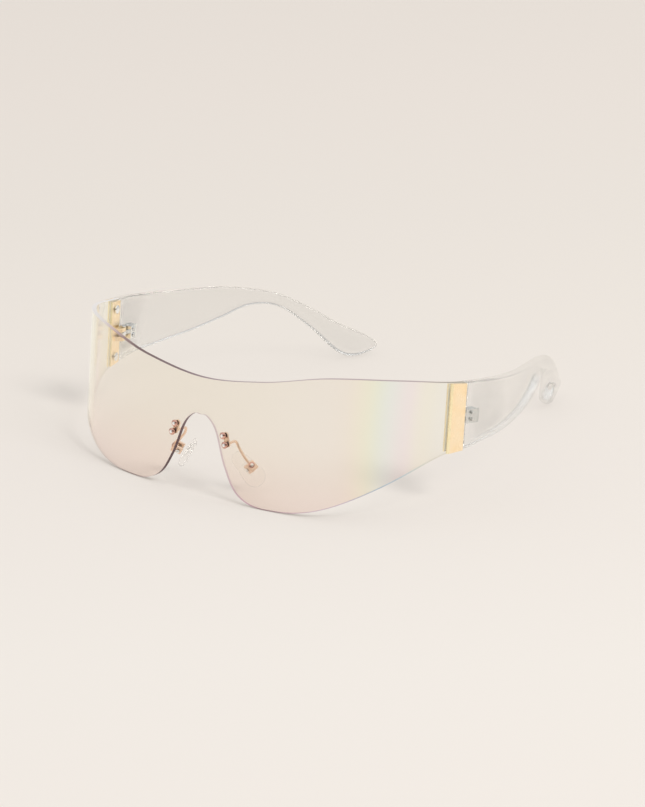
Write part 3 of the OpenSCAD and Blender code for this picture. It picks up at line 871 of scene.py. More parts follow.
class NodeTools:
    """The geometry node trees that turn round hardware and draw wires."""

    @staticmethod
    def start(name: str, inputs: dict[str, str]) -> tuple[Bench, bpy.types.NodeOutputs]:
        """Starts a tree that takes a geometry and further values.

        Args:
            name: the tree's name.
            inputs: the type of each further input, by its name.

        Returns:
            The tree's bench and the sockets of its inputs.
        """
        tree = bpy.data.node_groups.new(name, "GeometryNodeTree")
        for label, kind in {"Geometry": "Geometry", **inputs}.items():
            tree.interface.new_socket(label, in_out="INPUT", socket_type=f"NodeSocket{kind}")
        tree.interface.new_socket("Geometry", in_out="OUTPUT", socket_type="NodeSocketGeometry")
        bench = Bench(tree)
        return bench, bench.add("NodeGroupInput").outputs

    @classmethod
    def turned_parts(cls) -> bpy.types.NodeTree:
        """Turns a profile round its axis, cuts a driver slot and stands a copy on each point.

        Returns:
            The tree, made once.
        """
        made = bpy.data.node_groups.get("turned_parts")
        if made is not None:
            return made
        floats = dict.fromkeys(("Slot Width", "Slot Depth", "Slot Length", "Top"), "Float")
        inputs = {"Profile": "Object", "Sides": "Int", **floats, "Material": "Material"}
        bench, given = cls.start("turned_parts", inputs)
        profile = bench.add("GeometryNodeObjectInfo", {"Object": given["Profile"]}).outputs["Geometry"]
        count = bench.add("GeometryNodeAttributeDomainSize", {0: profile}).outputs["Point Count"]
        columns = bench.maths("ADD", given["Sides"], 1)
        grid = bench.add(
            "GeometryNodeMeshGrid", {"Size X": 1.0, "Size Y": 1.0, "Vertices X": columns, "Vertices Y": count}
        ).outputs["Mesh"]
        place = bench.add("GeometryNodeInputPosition").outputs[0]
        parts = bench.parts(place)
        angle = bench.maths("MULTIPLY", bench.maths("ADD", parts["X"], 0.5), math.tau)
        row = bench.maths("MULTIPLY", bench.maths("ADD", parts["Y"], 0.5), bench.maths("SUBTRACT", count, 1))
        sample = bench.add(
            "GeometryNodeSampleIndex",
            {"Geometry": profile, "Value": place, "Index": bench.maths("ROUND", row)},
            data_type="FLOAT_VECTOR",
        )
        spot = bench.parts(sample.outputs[0])
        turned = bench.vector(
            *(bench.maths("MULTIPLY", spot["X"], bench.maths(wave, angle)) for wave in ("COSINE", "SINE")), spot["Z"]
        )
        skin = bench.add("GeometryNodeSetPosition", {"Geometry": grid, "Position": turned}).outputs[0]
        part = bench.add("GeometryNodeMergeByDistance", {"Geometry": skin, "Distance": WELD}).outputs[0]
        size = bench.vector(
            given["Slot Length"], given["Slot Width"], bench.maths("MULTIPLY", given["Slot Depth"], 2)
        )
        bar = bench.add("GeometryNodeMeshCube", {"Size": size}).outputs["Mesh"]
        lift = bench.vector(z=given["Top"])
        bar = bench.add("GeometryNodeTransform", {"Geometry": bar, "Translation": lift}).outputs[0]
        slotted = bench.add("GeometryNodeMeshBoolean", {0: part, 1: bar}, operation="DIFFERENCE").outputs["Mesh"]
        cuts = bench.maths("GREATER_THAN", given["Slot Depth"], 0)
        choice = bench.add(
            "GeometryNodeSwitch", {"Switch": cuts, "False": part, "True": slotted}, input_type="GEOMETRY"
        )
        facing = bench.add(
            "GeometryNodeInputNamedAttribute", {"Name": FACING}, data_type="FLOAT_VECTOR"
        ).outputs["Attribute"]
        turn = bench.add("FunctionNodeAlignRotationToVector", {"Vector": facing}, axis="Z").outputs[0]
        stood = bench.add(
            "GeometryNodeInstanceOnPoints",
            {"Points": given["Geometry"], "Instance": choice.outputs[0], "Rotation": turn},
        ).outputs[0]
        return cls.finish(bench, stood, given["Material"])

    @classmethod
    def wires(cls) -> bpy.types.NodeTree:
        """Draws a round wire along each line of the mesh.

        Returns:
            The tree, made once.
        """
        made = bpy.data.node_groups.get("wires")
        if made is not None:
            return made
        bench, given = cls.start("wires", {"Radius": "Float", "Sides": "Int", "Material": "Material"})
        line = bench.add("GeometryNodeMeshToCurve", {"Mesh": given["Geometry"]}).outputs[0]
        ring = bench.add(
            "GeometryNodeCurvePrimitiveCircle", {"Resolution": given["Sides"], "Radius": given["Radius"]}
        ).outputs["Curve"]
        wire = bench.add(
            "GeometryNodeCurveToMesh", {"Curve": line, "Profile Curve": ring, "Fill Caps": True}
        ).outputs[0]
        return cls.finish(bench, wire, given["Material"])

    @staticmethod
    def finish(bench: Bench, shape: bpy.types.NodeSocket, material: bpy.types.NodeSocket) -> bpy.types.NodeTree:
        """Ends a tree: real copies, smooth faces and the material.

        Args:
            bench: the tree's bench.
            shape: the socket of the geometry so far.
            material: the socket of the material.

        Returns:
            The tree.
        """
        real = bench.add("GeometryNodeRealizeInstances", {"Geometry": shape}).outputs[0]
        even = bench.add("GeometryNodeSetShadeSmooth", {"Geometry": real}).outputs[0]
        painted = bench.add("GeometryNodeSetMaterial", {"Geometry": even, "Material": material}).outputs[0]
        bench.add("NodeGroupOutput", {"Geometry": painted})
        return bench.tree

    @staticmethod
    def run(piece: bpy.types.Object, tree: bpy.types.NodeTree, values: dict[str, object]) -> None:
        """Runs a tree on a piece and keeps what it makes.

        Args:
            piece: the piece that holds the points or lines.
            tree: the tree.
            values: the value of each named input.
        """
        modifier = piece.modifiers.new(tree.name, "NODES")
        modifier.node_group = tree
        for item in tree.interface.items_tree:
            if item.item_type == "SOCKET" and item.in_out == "INPUT" and item.name in values:
                modifier[item.identifier] = values[item.name]
        settle(piece)


@dataclass(frozen=True)
class Turned:
    """A small turned part.

    Attributes:
        profile: its outline, as radius and height, from the axis at its foot round to the axis at its top.
        rounding: how far each corner is rounded.
        slot: width and depth of the driver slot, or nothing.
        sides: how many sides it has.
        slot_reach: how long the slot's cutter is, as a share of its widest diameter.
        straight: how many times as long as its corner's rounding a side is at least.
    """

    profile: Profile
    rounding: float = 0.06 * MM
    slot: Pair = (0, 0)
    sides: int = 32
    slot_reach: float = 1.5
    straight: float = 2.5

    def outline(self) -> np.ndarray:
        """Rounds the profile's corners.

        Returns:
            Its points, in the XZ plane.
        """
        points = [Vector((r, 0, z)) for r, z in self.profile]
        rounded = [points[0]]
        for before, corner, after in zip(points, points[1:], points[2:]):
            into, out = corner - before, after - corner
            near = min(self.rounding, into.length / self.straight, out.length / self.straight)
            start, end = corner - into.normalized() * near, corner + out.normalized() * near
            for t in (0, 0.25, 0.5, 0.75, 1):
                rounded.append(start * (1 - t) ** 2 + corner * 2 * t * (1 - t) + end * t**2)
        rounded.append(points[-1])
        return np.array([tuple(p) for p in rounded])

    def stand(self, name: str, spots: Spots, finish: Finish) -> bpy.types.Object:
        """Stands a copy at each spot.

        Args:
            name: the piece's name.
            spots: the foot of each copy and the way that it faces.
            finish: its finish.

        Returns:
            All copies as one piece.
        """
        profile = new_piece(f"{name}_profile", self.outline(), [])
        piece = new_piece(name, np.array([tuple(place) for place, _ in spots]), [])
        facing = piece.data.attributes.new(FACING, "FLOAT_VECTOR", "POINT")
        facing.data.foreach_set("vector", [x for _, way in spots for x in way.normalized()])
        widest = 2 * max(r for r, _ in self.profile)
        values = {
            "Profile": profile,
            "Sides": self.sides,
            "Slot Width": self.slot[0],
            "Slot Depth": self.slot[1],
            "Slot Length": self.slot_reach * widest,
            "Top": max(z for _, z in self.profile),
            "Material": finish.material(),
        }
        NodeTools.run(piece, NodeTools.turned_parts(), values)
        bpy.data.objects.remove(profile)
        face_outwards(piece)
        smooth(piece)
        return piece

    def fit(self, name: str, spots: Spots, finish: Finish, body: str, node: str) -> bpy.types.Object:
        """Stands a copy at each spot and dresses them all as one piece, for a body and a node of the frame."""
        return dress(self.stand(name, spots, finish), body, finish, [node])


def tube(bore: float, width: float, length: float) -> Profile:
    """The profile of a tube, from the diameters of its bore and its outside and its length."""
    return ((bore / 2, 0), (width / 2, 0), (width / 2, length), (bore / 2, length), (bore / 2, 0))


def screw(width: float, length: float, head: float, head_height: float) -> Profile:
    """The profile of a shank with a flat head, from the diameter and the length of each."""
    full = length + head_height
    return ((0, 0), (width / 2, 0), (width / 2, length), (head / 2, length), (head / 2, full), (0, full))


def dome(diameter: float, height: float, edge_share: float) -> Profile:
    """The profile of a disc with a domed top.

    Args:
        diameter: its diameter.
        height: its full height.
        edge_share: the share of that height at its edge.

    Returns:
        The profile's points.
    """
    edge = height * edge_share
    crown = height - edge
    ball = (diameter**2 / 4 + crown**2) / (2 * crown)
    wide = math.asin(diameter / 2 / ball)
    arc = [(ball * math.sin(wide * t), height - ball * (1 - math.cos(wide * t))) for t in (1, 0.8, 0.6, 0.4, 0.2, 0)]
    return ((0, 0), (diameter / 2, 0), *arc)


@dataclass(frozen=True)
class LensPlan:
    """The curve that the lens follows, seen from above, and its outline laid flat."""

    width: float = 148 * MM
    height: float = 47.2 * MM
    thickness: float = 1.5 * MM
    wrap: float = math.radians(75)
    flat: float = 8 * MM
    hinge_drop: float = 0.6 * MM
    wrap_power: float = 2.24
    ease_share: float = 0.256
    ease_power: float = 6
    samples: int = 2400
    top_shares: tuple[float, ...] = (0.824, 0.884, 0.987, 1, 0.956)
    low_shares: tuple[Pair, ...] = (
        (0, 0.561), (0.03, 0.556), (0.071, 0.467), (0.116, 0.234), (0.179, 0.055),
        (0.293, 0), (0.505, 0.074), (0.866, 0.423), (1, 0.478),
    )

    def turned(self, share: np.ndarray) -> np.ndarray:
        """The angle through which the curve has turned at shares of its bend."""
        return self.wrap * ((1 + self.ease_share) * share**self.wrap_power - self.ease_share * share**self.ease_power)

    @cached_property
    def bend(self) -> float:
        """How far along the curve its straight end starts."""
        across = np.cos(self.turned((np.arange(self.samples) + 0.5) / self.samples)).mean()
        return float((self.width / 2 - self.flat * math.cos(self.wrap)) / across)

    @property
    def half(self) -> float:
        """Half the lens's width along its curve."""
        return self.bend + self.flat

    def heading(self, u: np.ndarray) -> np.ndarray:
        """The angle through which the curve has turned at places along it, with the sign of the side."""
        return np.sign(u) * self.turned(np.minimum(np.abs(u) / self.bend, 1))

    @cached_property
    def plan(self) -> tuple[np.ndarray, np.ndarray, np.ndarray]:
        """Measures half the curve.

        Returns:
            Places along it, with the X and the Y of each.
        """
        u = np.linspace(0, self.half, self.samples)
        turn = self.heading((u[1:] + u[:-1]) / 2)
        step = u[1]
        x = np.concatenate([[0], np.cumsum(np.cos(turn) * step)])
        y = np.concatenate([[0], np.cumsum(np.sin(turn) * step)])
        return u, x, y

    def point(self, u: np.ndarray, depth: float | np.ndarray, v: np.ndarray) -> np.ndarray:
        """Places in and behind the lens.

        Args:
            u: distances along the curve.
            depth: how far each lies in from the outer face.
            v: heights above the lobes.

        Returns:
            The upright place of each.
        """
        table, x, y = self.plan
        turn = self.heading(u)
        across = np.sign(u) * np.interp(np.abs(u), table, x) - depth * np.sin(turn)
        back = np.interp(np.abs(u), table, y) + depth * np.cos(turn)
        return np.stack([across, back, v + 0 * across], -1)

    def low_edge(self, steps: int = 20) -> np.ndarray:
        """The lower edge from end to end.

        Args:
            steps: how many points each stretch gets.

        Returns:
            Its places along and up the lens.
        """
        right = [(k * self.half, v * self.height) for k, v in self.low_shares]
        left = [(-k, v) for k, v in reversed(right[1:])]
        return spline(left + right, steps)

    def low(self, u: np.ndarray) -> np.ndarray:
        """The height of the lower edge at places along the lens."""
        edge = self.low_edge()
        return np.interp(u, edge[:, 0], edge[:, 1])

    def top(self, u: np.ndarray) -> np.ndarray:
        """The height of the top edge at places along the lens."""
        shares = (*reversed(self.top_shares[1:]), *self.top_shares)
        return self.height * table_at(shares, (u / self.half + 1) / 2)

    def nearest(self, points: np.ndarray) -> np.ndarray:
        """The place along the curve nearest to each upright point.

        Args:
            points: the points.

        Returns:
            The distance along the curve of each, with the sign of its side.
        """
        table, x, y = self.plan
        gaps = np.hypot(np.abs(points[:, 0])[:, None] - x, points[:, 1][:, None] - y)
        return np.sign(points[:, 0]) * table[np.argmin(gaps, 1)]

    @property
    def end(self) -> Matrix:
        """The frame of the straight right end: X back along it, Y in through the lens, Z up."""
        place = self.point(np.array([self.bend]), 0, np.array([0.0]))[0]
        return Matrix.Translation(Vector(place)) @ Matrix.Rotation(self.wrap, 4, "Z")

    @property
    def end_height(self) -> float:
        """The height of the middle of the lens's end."""
        end = np.array([self.half])
        return float(self.top(end)[0] + self.low(end)[0]) / 2

    @property
    def hinge_height(self) -> float:
        """The height of the hinge's middle."""
        return self.end_height - self.hinge_drop

    def on_lens(self, u: float, v: float) -> Matrix:
        """The frame at a place on the right half: X along the curve, Y in through the lens, Z up."""
        place = self.point(np.array([u]), 0, np.array([v]))[0]
        return Matrix.Translation(Vector(place)) @ Matrix.Rotation(float(self.heading(np.array([u]))[0]), 4, "Z")


@dataclass(frozen=True)
class Stance:
    """How the upright glasses lean back to stand on their lobes and tips.

    Attributes:
        lean: the angle of the lean.
        shift: the move that follows it.
    """

    lean: float
    shift: Triple

    @classmethod
    def from_frame(cls, plan: LensPlan) -> Stance:
        """Reads the stance from the frame: the lean from a hinge's axis and the shift from the lens's box.

        Args:
            plan: the lens, which gives the upright places.

        Returns:
            The stance.
        """
        axis = next(j["axis"] for j in frame["joints"] if j["name"] == "temple_fold_right")
        lean = math.atan2(axis[1], axis[2])
        edge = plan.low_edge()
        faces = [plan.point(edge[:, 0], depth, edge[:, 1]) for depth in (0, plan.thickness)]
        points = np.concatenate(faces) @ np.array(Matrix.Rotation(-lean, 3, "X")).T
        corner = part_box("lens")[0]
        return cls(lean, (0, corner.y - points[:, 1].min(), corner.z - points[:, 2].min()))

    def matrix(self, side: Side = Side.RIGHT) -> Matrix:
        """Takes an upright place on the right side to a side's place in the frame."""
        return Matrix.Translation(self.shift) @ Matrix.Rotation(-self.lean, 4, "X") @ side.mirror


@dataclass(frozen=True)
class Lens:
    """The one-piece lens with its drilled holes and its polished edge."""

    plan: LensPlan
    stance: Stance
    edge_round: float = 0.22 * MM
    edge_bend: float = 45
    edge_share: float = 0.8
    rows: int = 8
    steps: int = 18

    def build(self, holes: Sequence[bpy.types.Object]) -> None:
        """Builds and dresses the lens.

        Args:
            holes: the bars that drill it, in the upright frame.
        """
        plan = self.plan
        edge = plan.low_edge(self.steps)
        u = edge[:, 0]
        rise = np.linspace(0, 1, self.rows)
        heights = edge[:, 1][:, None] * (1 - rise) + plan.top(u)[:, None] * rise
        outer, inner = (
            np.stack([plan.point(u, depth, heights[:, k]) for k in range(self.rows)], 1)
            for depth in (0, plan.thickness)
        )
        piece = loft("lens_shield", np.concatenate([outer[:, ::-1], inner], 1))
        drill(piece, holes)
        round_edges(piece, self.edge_round, segments=3, angle=self.edge_bend)
        on_edge = self.mark_film(piece)
        piece.data.transform(self.stance.matrix())
        dress(piece, "front", FILM, ["lens"], [EDGE_LIGHT_AND_SHADE])
        piece.data.polygons.foreach_set("material_index", on_edge.astype(np.int32))

    def mark_film(self, piece: bpy.types.Object) -> np.ndarray:
        """Writes each corner's place along and up the lens.

        Args:
            piece: the upright lens.

        Returns:
            For each face, whether it lies on the edge.
        """
        mesh = piece.data
        points = np.array([v.co for v in mesh.vertices])
        u = self.plan.nearest(points)
        for name, values in ((ALONG, np.abs(u) / self.plan.half), (UP, points[:, 2] / self.plan.height)):
            mesh.attributes.new(name, "FLOAT", "POINT").data.foreach_set("value", values.astype(np.float32))
        middles = np.array([f.center for f in mesh.polygons])
        turn = self.plan.heading(self.plan.nearest(middles))
        through = np.stack([-np.sin(turn), np.cos(turn), 0 * turn], 1)
        normals = np.array([f.normal for f in mesh.polygons])
        return np.abs((normals * through).sum(1)) < self.edge_share


@dataclass(frozen=True)
class SidePart:
    """What the sub-assemblies of one side share.

    Attributes:
        plan: the curve and the outline of the lens.
        stance: how the glasses stand.
        side: the side that it is on.
        leaf: how thick the hinge's strip is.
        gap: how far the temple lies from the lens's end.
        pocket_floor: how far in from the lens's outer face the floor of the temple's pocket lies.
        clear: the clearance between pieces that fit closely.
        overrun: how far a bar that drills the lens reaches past its faces.
    """

    plan: LensPlan
    stance: Stance
    side: Side
    leaf: float = 0.7 * MM
    gap: float = 0.3 * MM
    pocket_floor: float = 2.2 * MM
    clear: float = 0.05 * MM
    overrun: float = 0.5 * MM

    @property
    def whole(self) -> Matrix:
        """Takes a place at the straight right end to this side's place in the frame."""
        return self.stance.matrix(self.side) @ self.plan.end


@dataclass(frozen=True)
class EndPlate(SidePart):
    """The outer plate, its studs' bushes and its domed nuts, on one side."""

    strip: float = 6.8 * MM
    edge: float = 0.3 * MM
    bevel_way: Pair = (0.87, -0.5)
    bevel_spread: float = 0.82
    stud_pitch: float = 16.5 * MM
    bush: float = 2.2 * MM
    bush_round: float = 0.08 * MM
    bore: float = 1.5 * MM
    nut: float = 3 * MM
    nut_height: float = 1.1 * MM
    nut_edge_share: float = 0.55
    nut_round: float = 0.1 * MM

    def spots(self, depth: float, placed: bool = True) -> Spots:
        """Places on the two studs' axes.

        Args:
            depth: how far in from the lens's outer face.
            placed: True for places in the frame, False for upright ones on the right.

        Returns:
            Each place, with the way in through the lens.
        """
        along = self.plan.flat - self.strip / 2
        whole = self.whole if placed else self.plan.end
        heights = [self.plan.end_height + way * self.stud_pitch / 2 for way in (-1, 1)]
        way_in = whole.to_3x3() @ Vector((0, 1, 0))
        return [(whole @ Vector((along, depth, z)), way_in) for z in heights]

    def holes(self) -> list[bpy.types.Object]:
        """Makes the bars that drill the lens for the studs.

        Returns:
            The bars, in the upright frame.
        """
        starts = self.spots(-self.overrun, placed=False)
        ends = self.spots(self.plan.thickness + self.overrun, placed=False)
        return [
            rod(
                f"stud_hole_{self.side.label}_{i}",
                self.bush / 2 + self.clear,
                self.side.mirror @ start,
                self.side.mirror @ end,
            )
            for i, ((start, _), (end, _)) in enumerate(zip(starts, ends))
        ]

    def build(self) -> None:
        """Builds and dresses the plate, its bushes and its nuts."""
        name = self.side.label
        plate = polished(f"plate_{name}", f"end_plate_{name}", self.edge)
        dress(plate, "front", GOLD, [f"plate_{name}"], [GOLD_BACK_PAINTED_LIGHT, GOLD_PAINTED_HIGHLIGHT])
        way_in = self.spots(0)[0][1]
        forwards = self.whole.to_3x3() @ Vector((-1, 0, 0))
        bevel = self.bevel_way[0] * forwards + self.bevel_way[1] * way_in
        # Painted light: the faces on the lens take the lightened matt gold, and the bevel's faces take the painted
        # highlight.
        finish_sides(plate, {1: way_in, 2: bevel}, self.bevel_spread)
        bush = Turned(tube(self.bore, self.bush, self.plan.thickness), self.bush_round)
        bush.fit(f"stud_sleeves_{name}", self.spots(0), BUSH, "front", f"plate_bushes_{name}")
        nut = Turned(dome(self.nut, self.nut_height, self.nut_edge_share), self.nut_round, sides=48)
        seats = self.spots(self.plan.thickness + self.leaf + self.clear)
        nut.fit(f"domed_nuts_{name}", seats, STEEL, "front", f"plate_nuts_{name}")


@dataclass(frozen=True)
class Hinge(SidePart):
    """The barrel hinge on one side: the front strip, the temple's leaf and the screws."""

    height: float = 4.4 * MM
    rise: float = 1.3 * MM
    strip_edge: float = 0.08 * MM
    block_edge: float = 0.1 * MM
    pin: float = 1 * MM
    pin_round: float = 0.08 * MM
    head: float = 2 * MM
    head_height: float = 0.5 * MM
    slot: Pair = (0.3 * MM, 0.25 * MM)
    knuckle: float = 2.2 * MM
    block: float = 4.6 * MM
    block_gap: float = 0.9 * MM
    block_back_share: float = 1.9
    screw: float = 1.1 * MM
    screw_round: float = 0.07 * MM
    screw_head: float = 1.8 * MM
    screw_head_height: float = 0.35 * MM
    screw_deep: float = 1.4 * MM

    @property
    def axis_depth(self) -> float:
        """How far in from the lens's outer face the pin lies."""
        return self.plan.thickness + self.leaf + self.rise

    @property
    def axis_along(self) -> float:
        """How far along the straight end the pin lies."""
        return self.plan.flat + self.gap / 2

    def build(self) -> None:
        """Builds and dresses the leaves, the pin and the block's screws."""
        name = self.side.label
        strip = polished(f"front_leaf_{name}", f"hinge_strip_{name}", self.strip_edge)
        dress(strip, "front", GOLD, [f"front_leaf_{name}"], [GOLD_BACK_PAINTED_LIGHT, GOLD_PAINTED_HIGHLIGHT])
        turn = self.whole.to_3x3()
        # Painted light: the side on the lens takes the lightened matt gold, and the front takes the painted
        # highlight.
        finish_sides(strip, {1: turn @ Vector((0, -1, 0)), 2: turn @ Vector((-1, 0, 0))})
        block = polished(f"temple_leaf_{name}", f"hinge_block_{name}", self.block_edge)
        dress(block, f"temple_{name}", STEEL, [f"temple_leaf_{name}"])
        self.build_pin()
        self.build_block_screws()

    def build_pin(self) -> None:
        """Builds and dresses the pin with its slotted head."""
        foot = self.whole @ Vector((self.axis_along, self.axis_depth, self.plan.hinge_height - self.height / 2))
        way = self.whole.to_3x3() @ Vector((0, 0, 1))
        profile = screw(self.pin, self.height + self.clear, self.head, self.head_height)
        pin = Turned(profile, self.pin_round, self.slot, sides=40)
        name = self.side.label
        pin.fit(f"hinge_pin_{name}", [(foot, way)], STEEL, "front", f"hinge_screw_{name}")

    def build_block_screws(self) -> None:
        """Builds and dresses the two screws through the block."""
        along = self.axis_along + self.knuckle / 2 + self.block_gap + self.block / 2
        foot = self.pocket_floor - self.screw_deep
        face = self.axis_depth + self.block_back_share * self.knuckle / 2 + self.clear
        way = self.whole.to_3x3() @ Vector((0, 1, 0))
        heights = [self.plan.hinge_height + side * self.height / 4 for side in (-1, 1)]
        spots = [(self.whole @ Vector((along, foot, z)), way) for z in heights]
        profile = screw(self.screw, face - foot, self.screw_head, self.screw_head_height)
        name = self.side.label
        Turned(profile, self.screw_round, self.slot).fit(
            f"block_screws_{name}", spots, STEEL, f"temple_{name}", f"temple_screws_{name}"
        )


@dataclass(frozen=True)
class Temple(SidePart):
    """One clear side arm, from its square front end over its neck to its rounded tip."""

    height: float = 23 * MM
    thickness: float = 3.6 * MM
    reach: float = 91.5 * MM
    bow: float = 61 * MM
    bow_power: float = 1.67
    twist: float = math.radians(22)
    twist_start: float = 0.65
    plate: float = 1 * MM
    front_round: float = 0.25 * MM
    front_steps: int = 4
    tip_start: float = 0.93
    tip_end: float = 0.16
    corner_steps: int = 9
    steps: int = 110
    tip_steps: int = 22
    pocket_length: float = 7.05 * MM
    pocket_height: float = 4.6 * MM
    screw_bore: float = 1.2 * MM
    screw_deep: float = 1.45 * MM
    screw_along: float = 12.45 * MM
    screw_pitch: float = 2.2 * MM
    top_shares: tuple[float, ...] = (0.497, 0.479, 0.455, 0.437, 0.429, 0.418, 0.362, 0.249, 0.01, -0.284, -0.475)
    low_shares: tuple[float, ...] = (
        -0.473, -0.407, -0.364, -0.296, -0.204, -0.066, 0.093, 0.036, -0.316, -0.766, -0.765,
    )
    thick_shares: tuple[float, ...] = (1, 0.95, 0.92, 0.9, 0.92, 0.98, 1.06, 1.18, 1.34, 1.48, 1.5)
    round_shares: tuple[float, ...] = (0.24, 0.26, 0.28, 0.3, 0.34, 0.38, 0.42, 0.44, 0.45, 0.46, 0.46)

    @property
    def start(self) -> float:
        """Where the arm starts along the straight end."""
        return self.plan.flat + self.gap

    def ring(self, s: float, inset: float) -> np.ndarray:
        """The arm's outline across one place.

        Args:
            s: the place, as a share of its length.
            inset: how far the outline is drawn in.

        Returns:
            The outline's points, in the frame of the straight end.
        """
        past = max(0, (s - self.tip_start) / (1 - self.tip_start))
        shrink = math.sqrt(1 - (1 - self.tip_end**2) * past**2)
        turn = math.atan(self.bow_power * self.bow * s ** (self.bow_power - 1) / self.reach)
        along = self.start + s * self.reach
        back = self.thickness / 2 - self.plate + self.bow * s**self.bow_power
        place = np.array([s])
        top = self.plan.end_height + self.height * float(table_at(self.top_shares, place)[0])
        low = self.plan.end_height + self.height * float(table_at(self.low_shares, place)[0])
        tall = (top - low) * shrink - 2 * inset
        wide = self.thickness * float(table_at(self.thick_shares, place)[0]) * shrink - 2 * inset
        corner = wide * float(table_at(self.round_shares, place)[0])
        corners = [
            (x, z, math.radians(90) * (number + k / self.corner_steps))
            for number, (x, z) in enumerate(((1, 1), (-1, 1), (-1, -1), (1, -1)))
            for k in range(self.corner_steps + 1)
        ]
        flat = np.array([x * (wide / 2 - corner) + corner * math.cos(a) for x, _, a in corners])
        up = np.array([z * (tall / 2 - corner) + corner * math.sin(a) for _, z, a in corners])
        e = max(0, (s - self.twist_start) / (1 - self.twist_start))
        twist = self.twist * e * e * (3 - 2 * e)
        across = flat * math.cos(twist) - up * math.sin(twist)
        rise = up * math.cos(twist) + flat * math.sin(twist)
        return np.stack(
            [along - across * math.sin(turn), back + across * math.cos(turn), (top + low) / 2 + rise], 1
        )

    def rings(self) -> np.ndarray:
        """Draws the arm's outlines.

        Returns:
            All of them, from its front to its tip.
        """
        start = [
            (self.front_round * (1 - math.cos(a)) / self.reach, self.front_round * (1 - math.sin(a)))
            for a in np.radians(np.linspace(0, 90, self.front_steps + 1))
        ]
        body = [(s, 0) for s in np.linspace(0, self.tip_start, self.steps)[2:]]
        tip = [
            (self.tip_start + (1 - self.tip_start) * math.sin(a), 0)
            for a in np.radians(np.linspace(0, 90, self.tip_steps + 1))[1:]
        ]
        return np.array([self.ring(s, inset) for s, inset in (*start, *body, *tip)])

    def build(self) -> None:
        """Builds and dresses the arm, with the pocket for its leaf and the two screw bores."""
        name = f"temple_{self.side.label}"
        piece = loft(f"side_arm_{self.side.label}", self.rings())
        high = self.plan.hinge_height
        ends = (self.start - self.gap, self.start + self.pocket_length)
        depths = (self.pocket_floor, 2 * self.thickness)
        outline = [(ends[0], depths[0]), (ends[1], depths[0]), (ends[1], depths[1]), (ends[0], depths[1])]
        pocket = prism("pocket", outline, high - self.pocket_height / 2, high + self.pocket_height / 2)
        bores = []
        for way in (-1, 1):
            start, end = (
                Vector((self.screw_along, self.pocket_floor + rise, high + way * self.screw_pitch / 2))
                for rise in (-self.screw_deep, self.gap)
            )
            bores.append(rod(f"screw_bore_{way}", self.screw_bore / 2, start, end))
        drill(piece, [pocket, *bores])
        smooth(piece)
        move(piece, self.whole)
        dress(piece, name, CRYSTAL, [name])


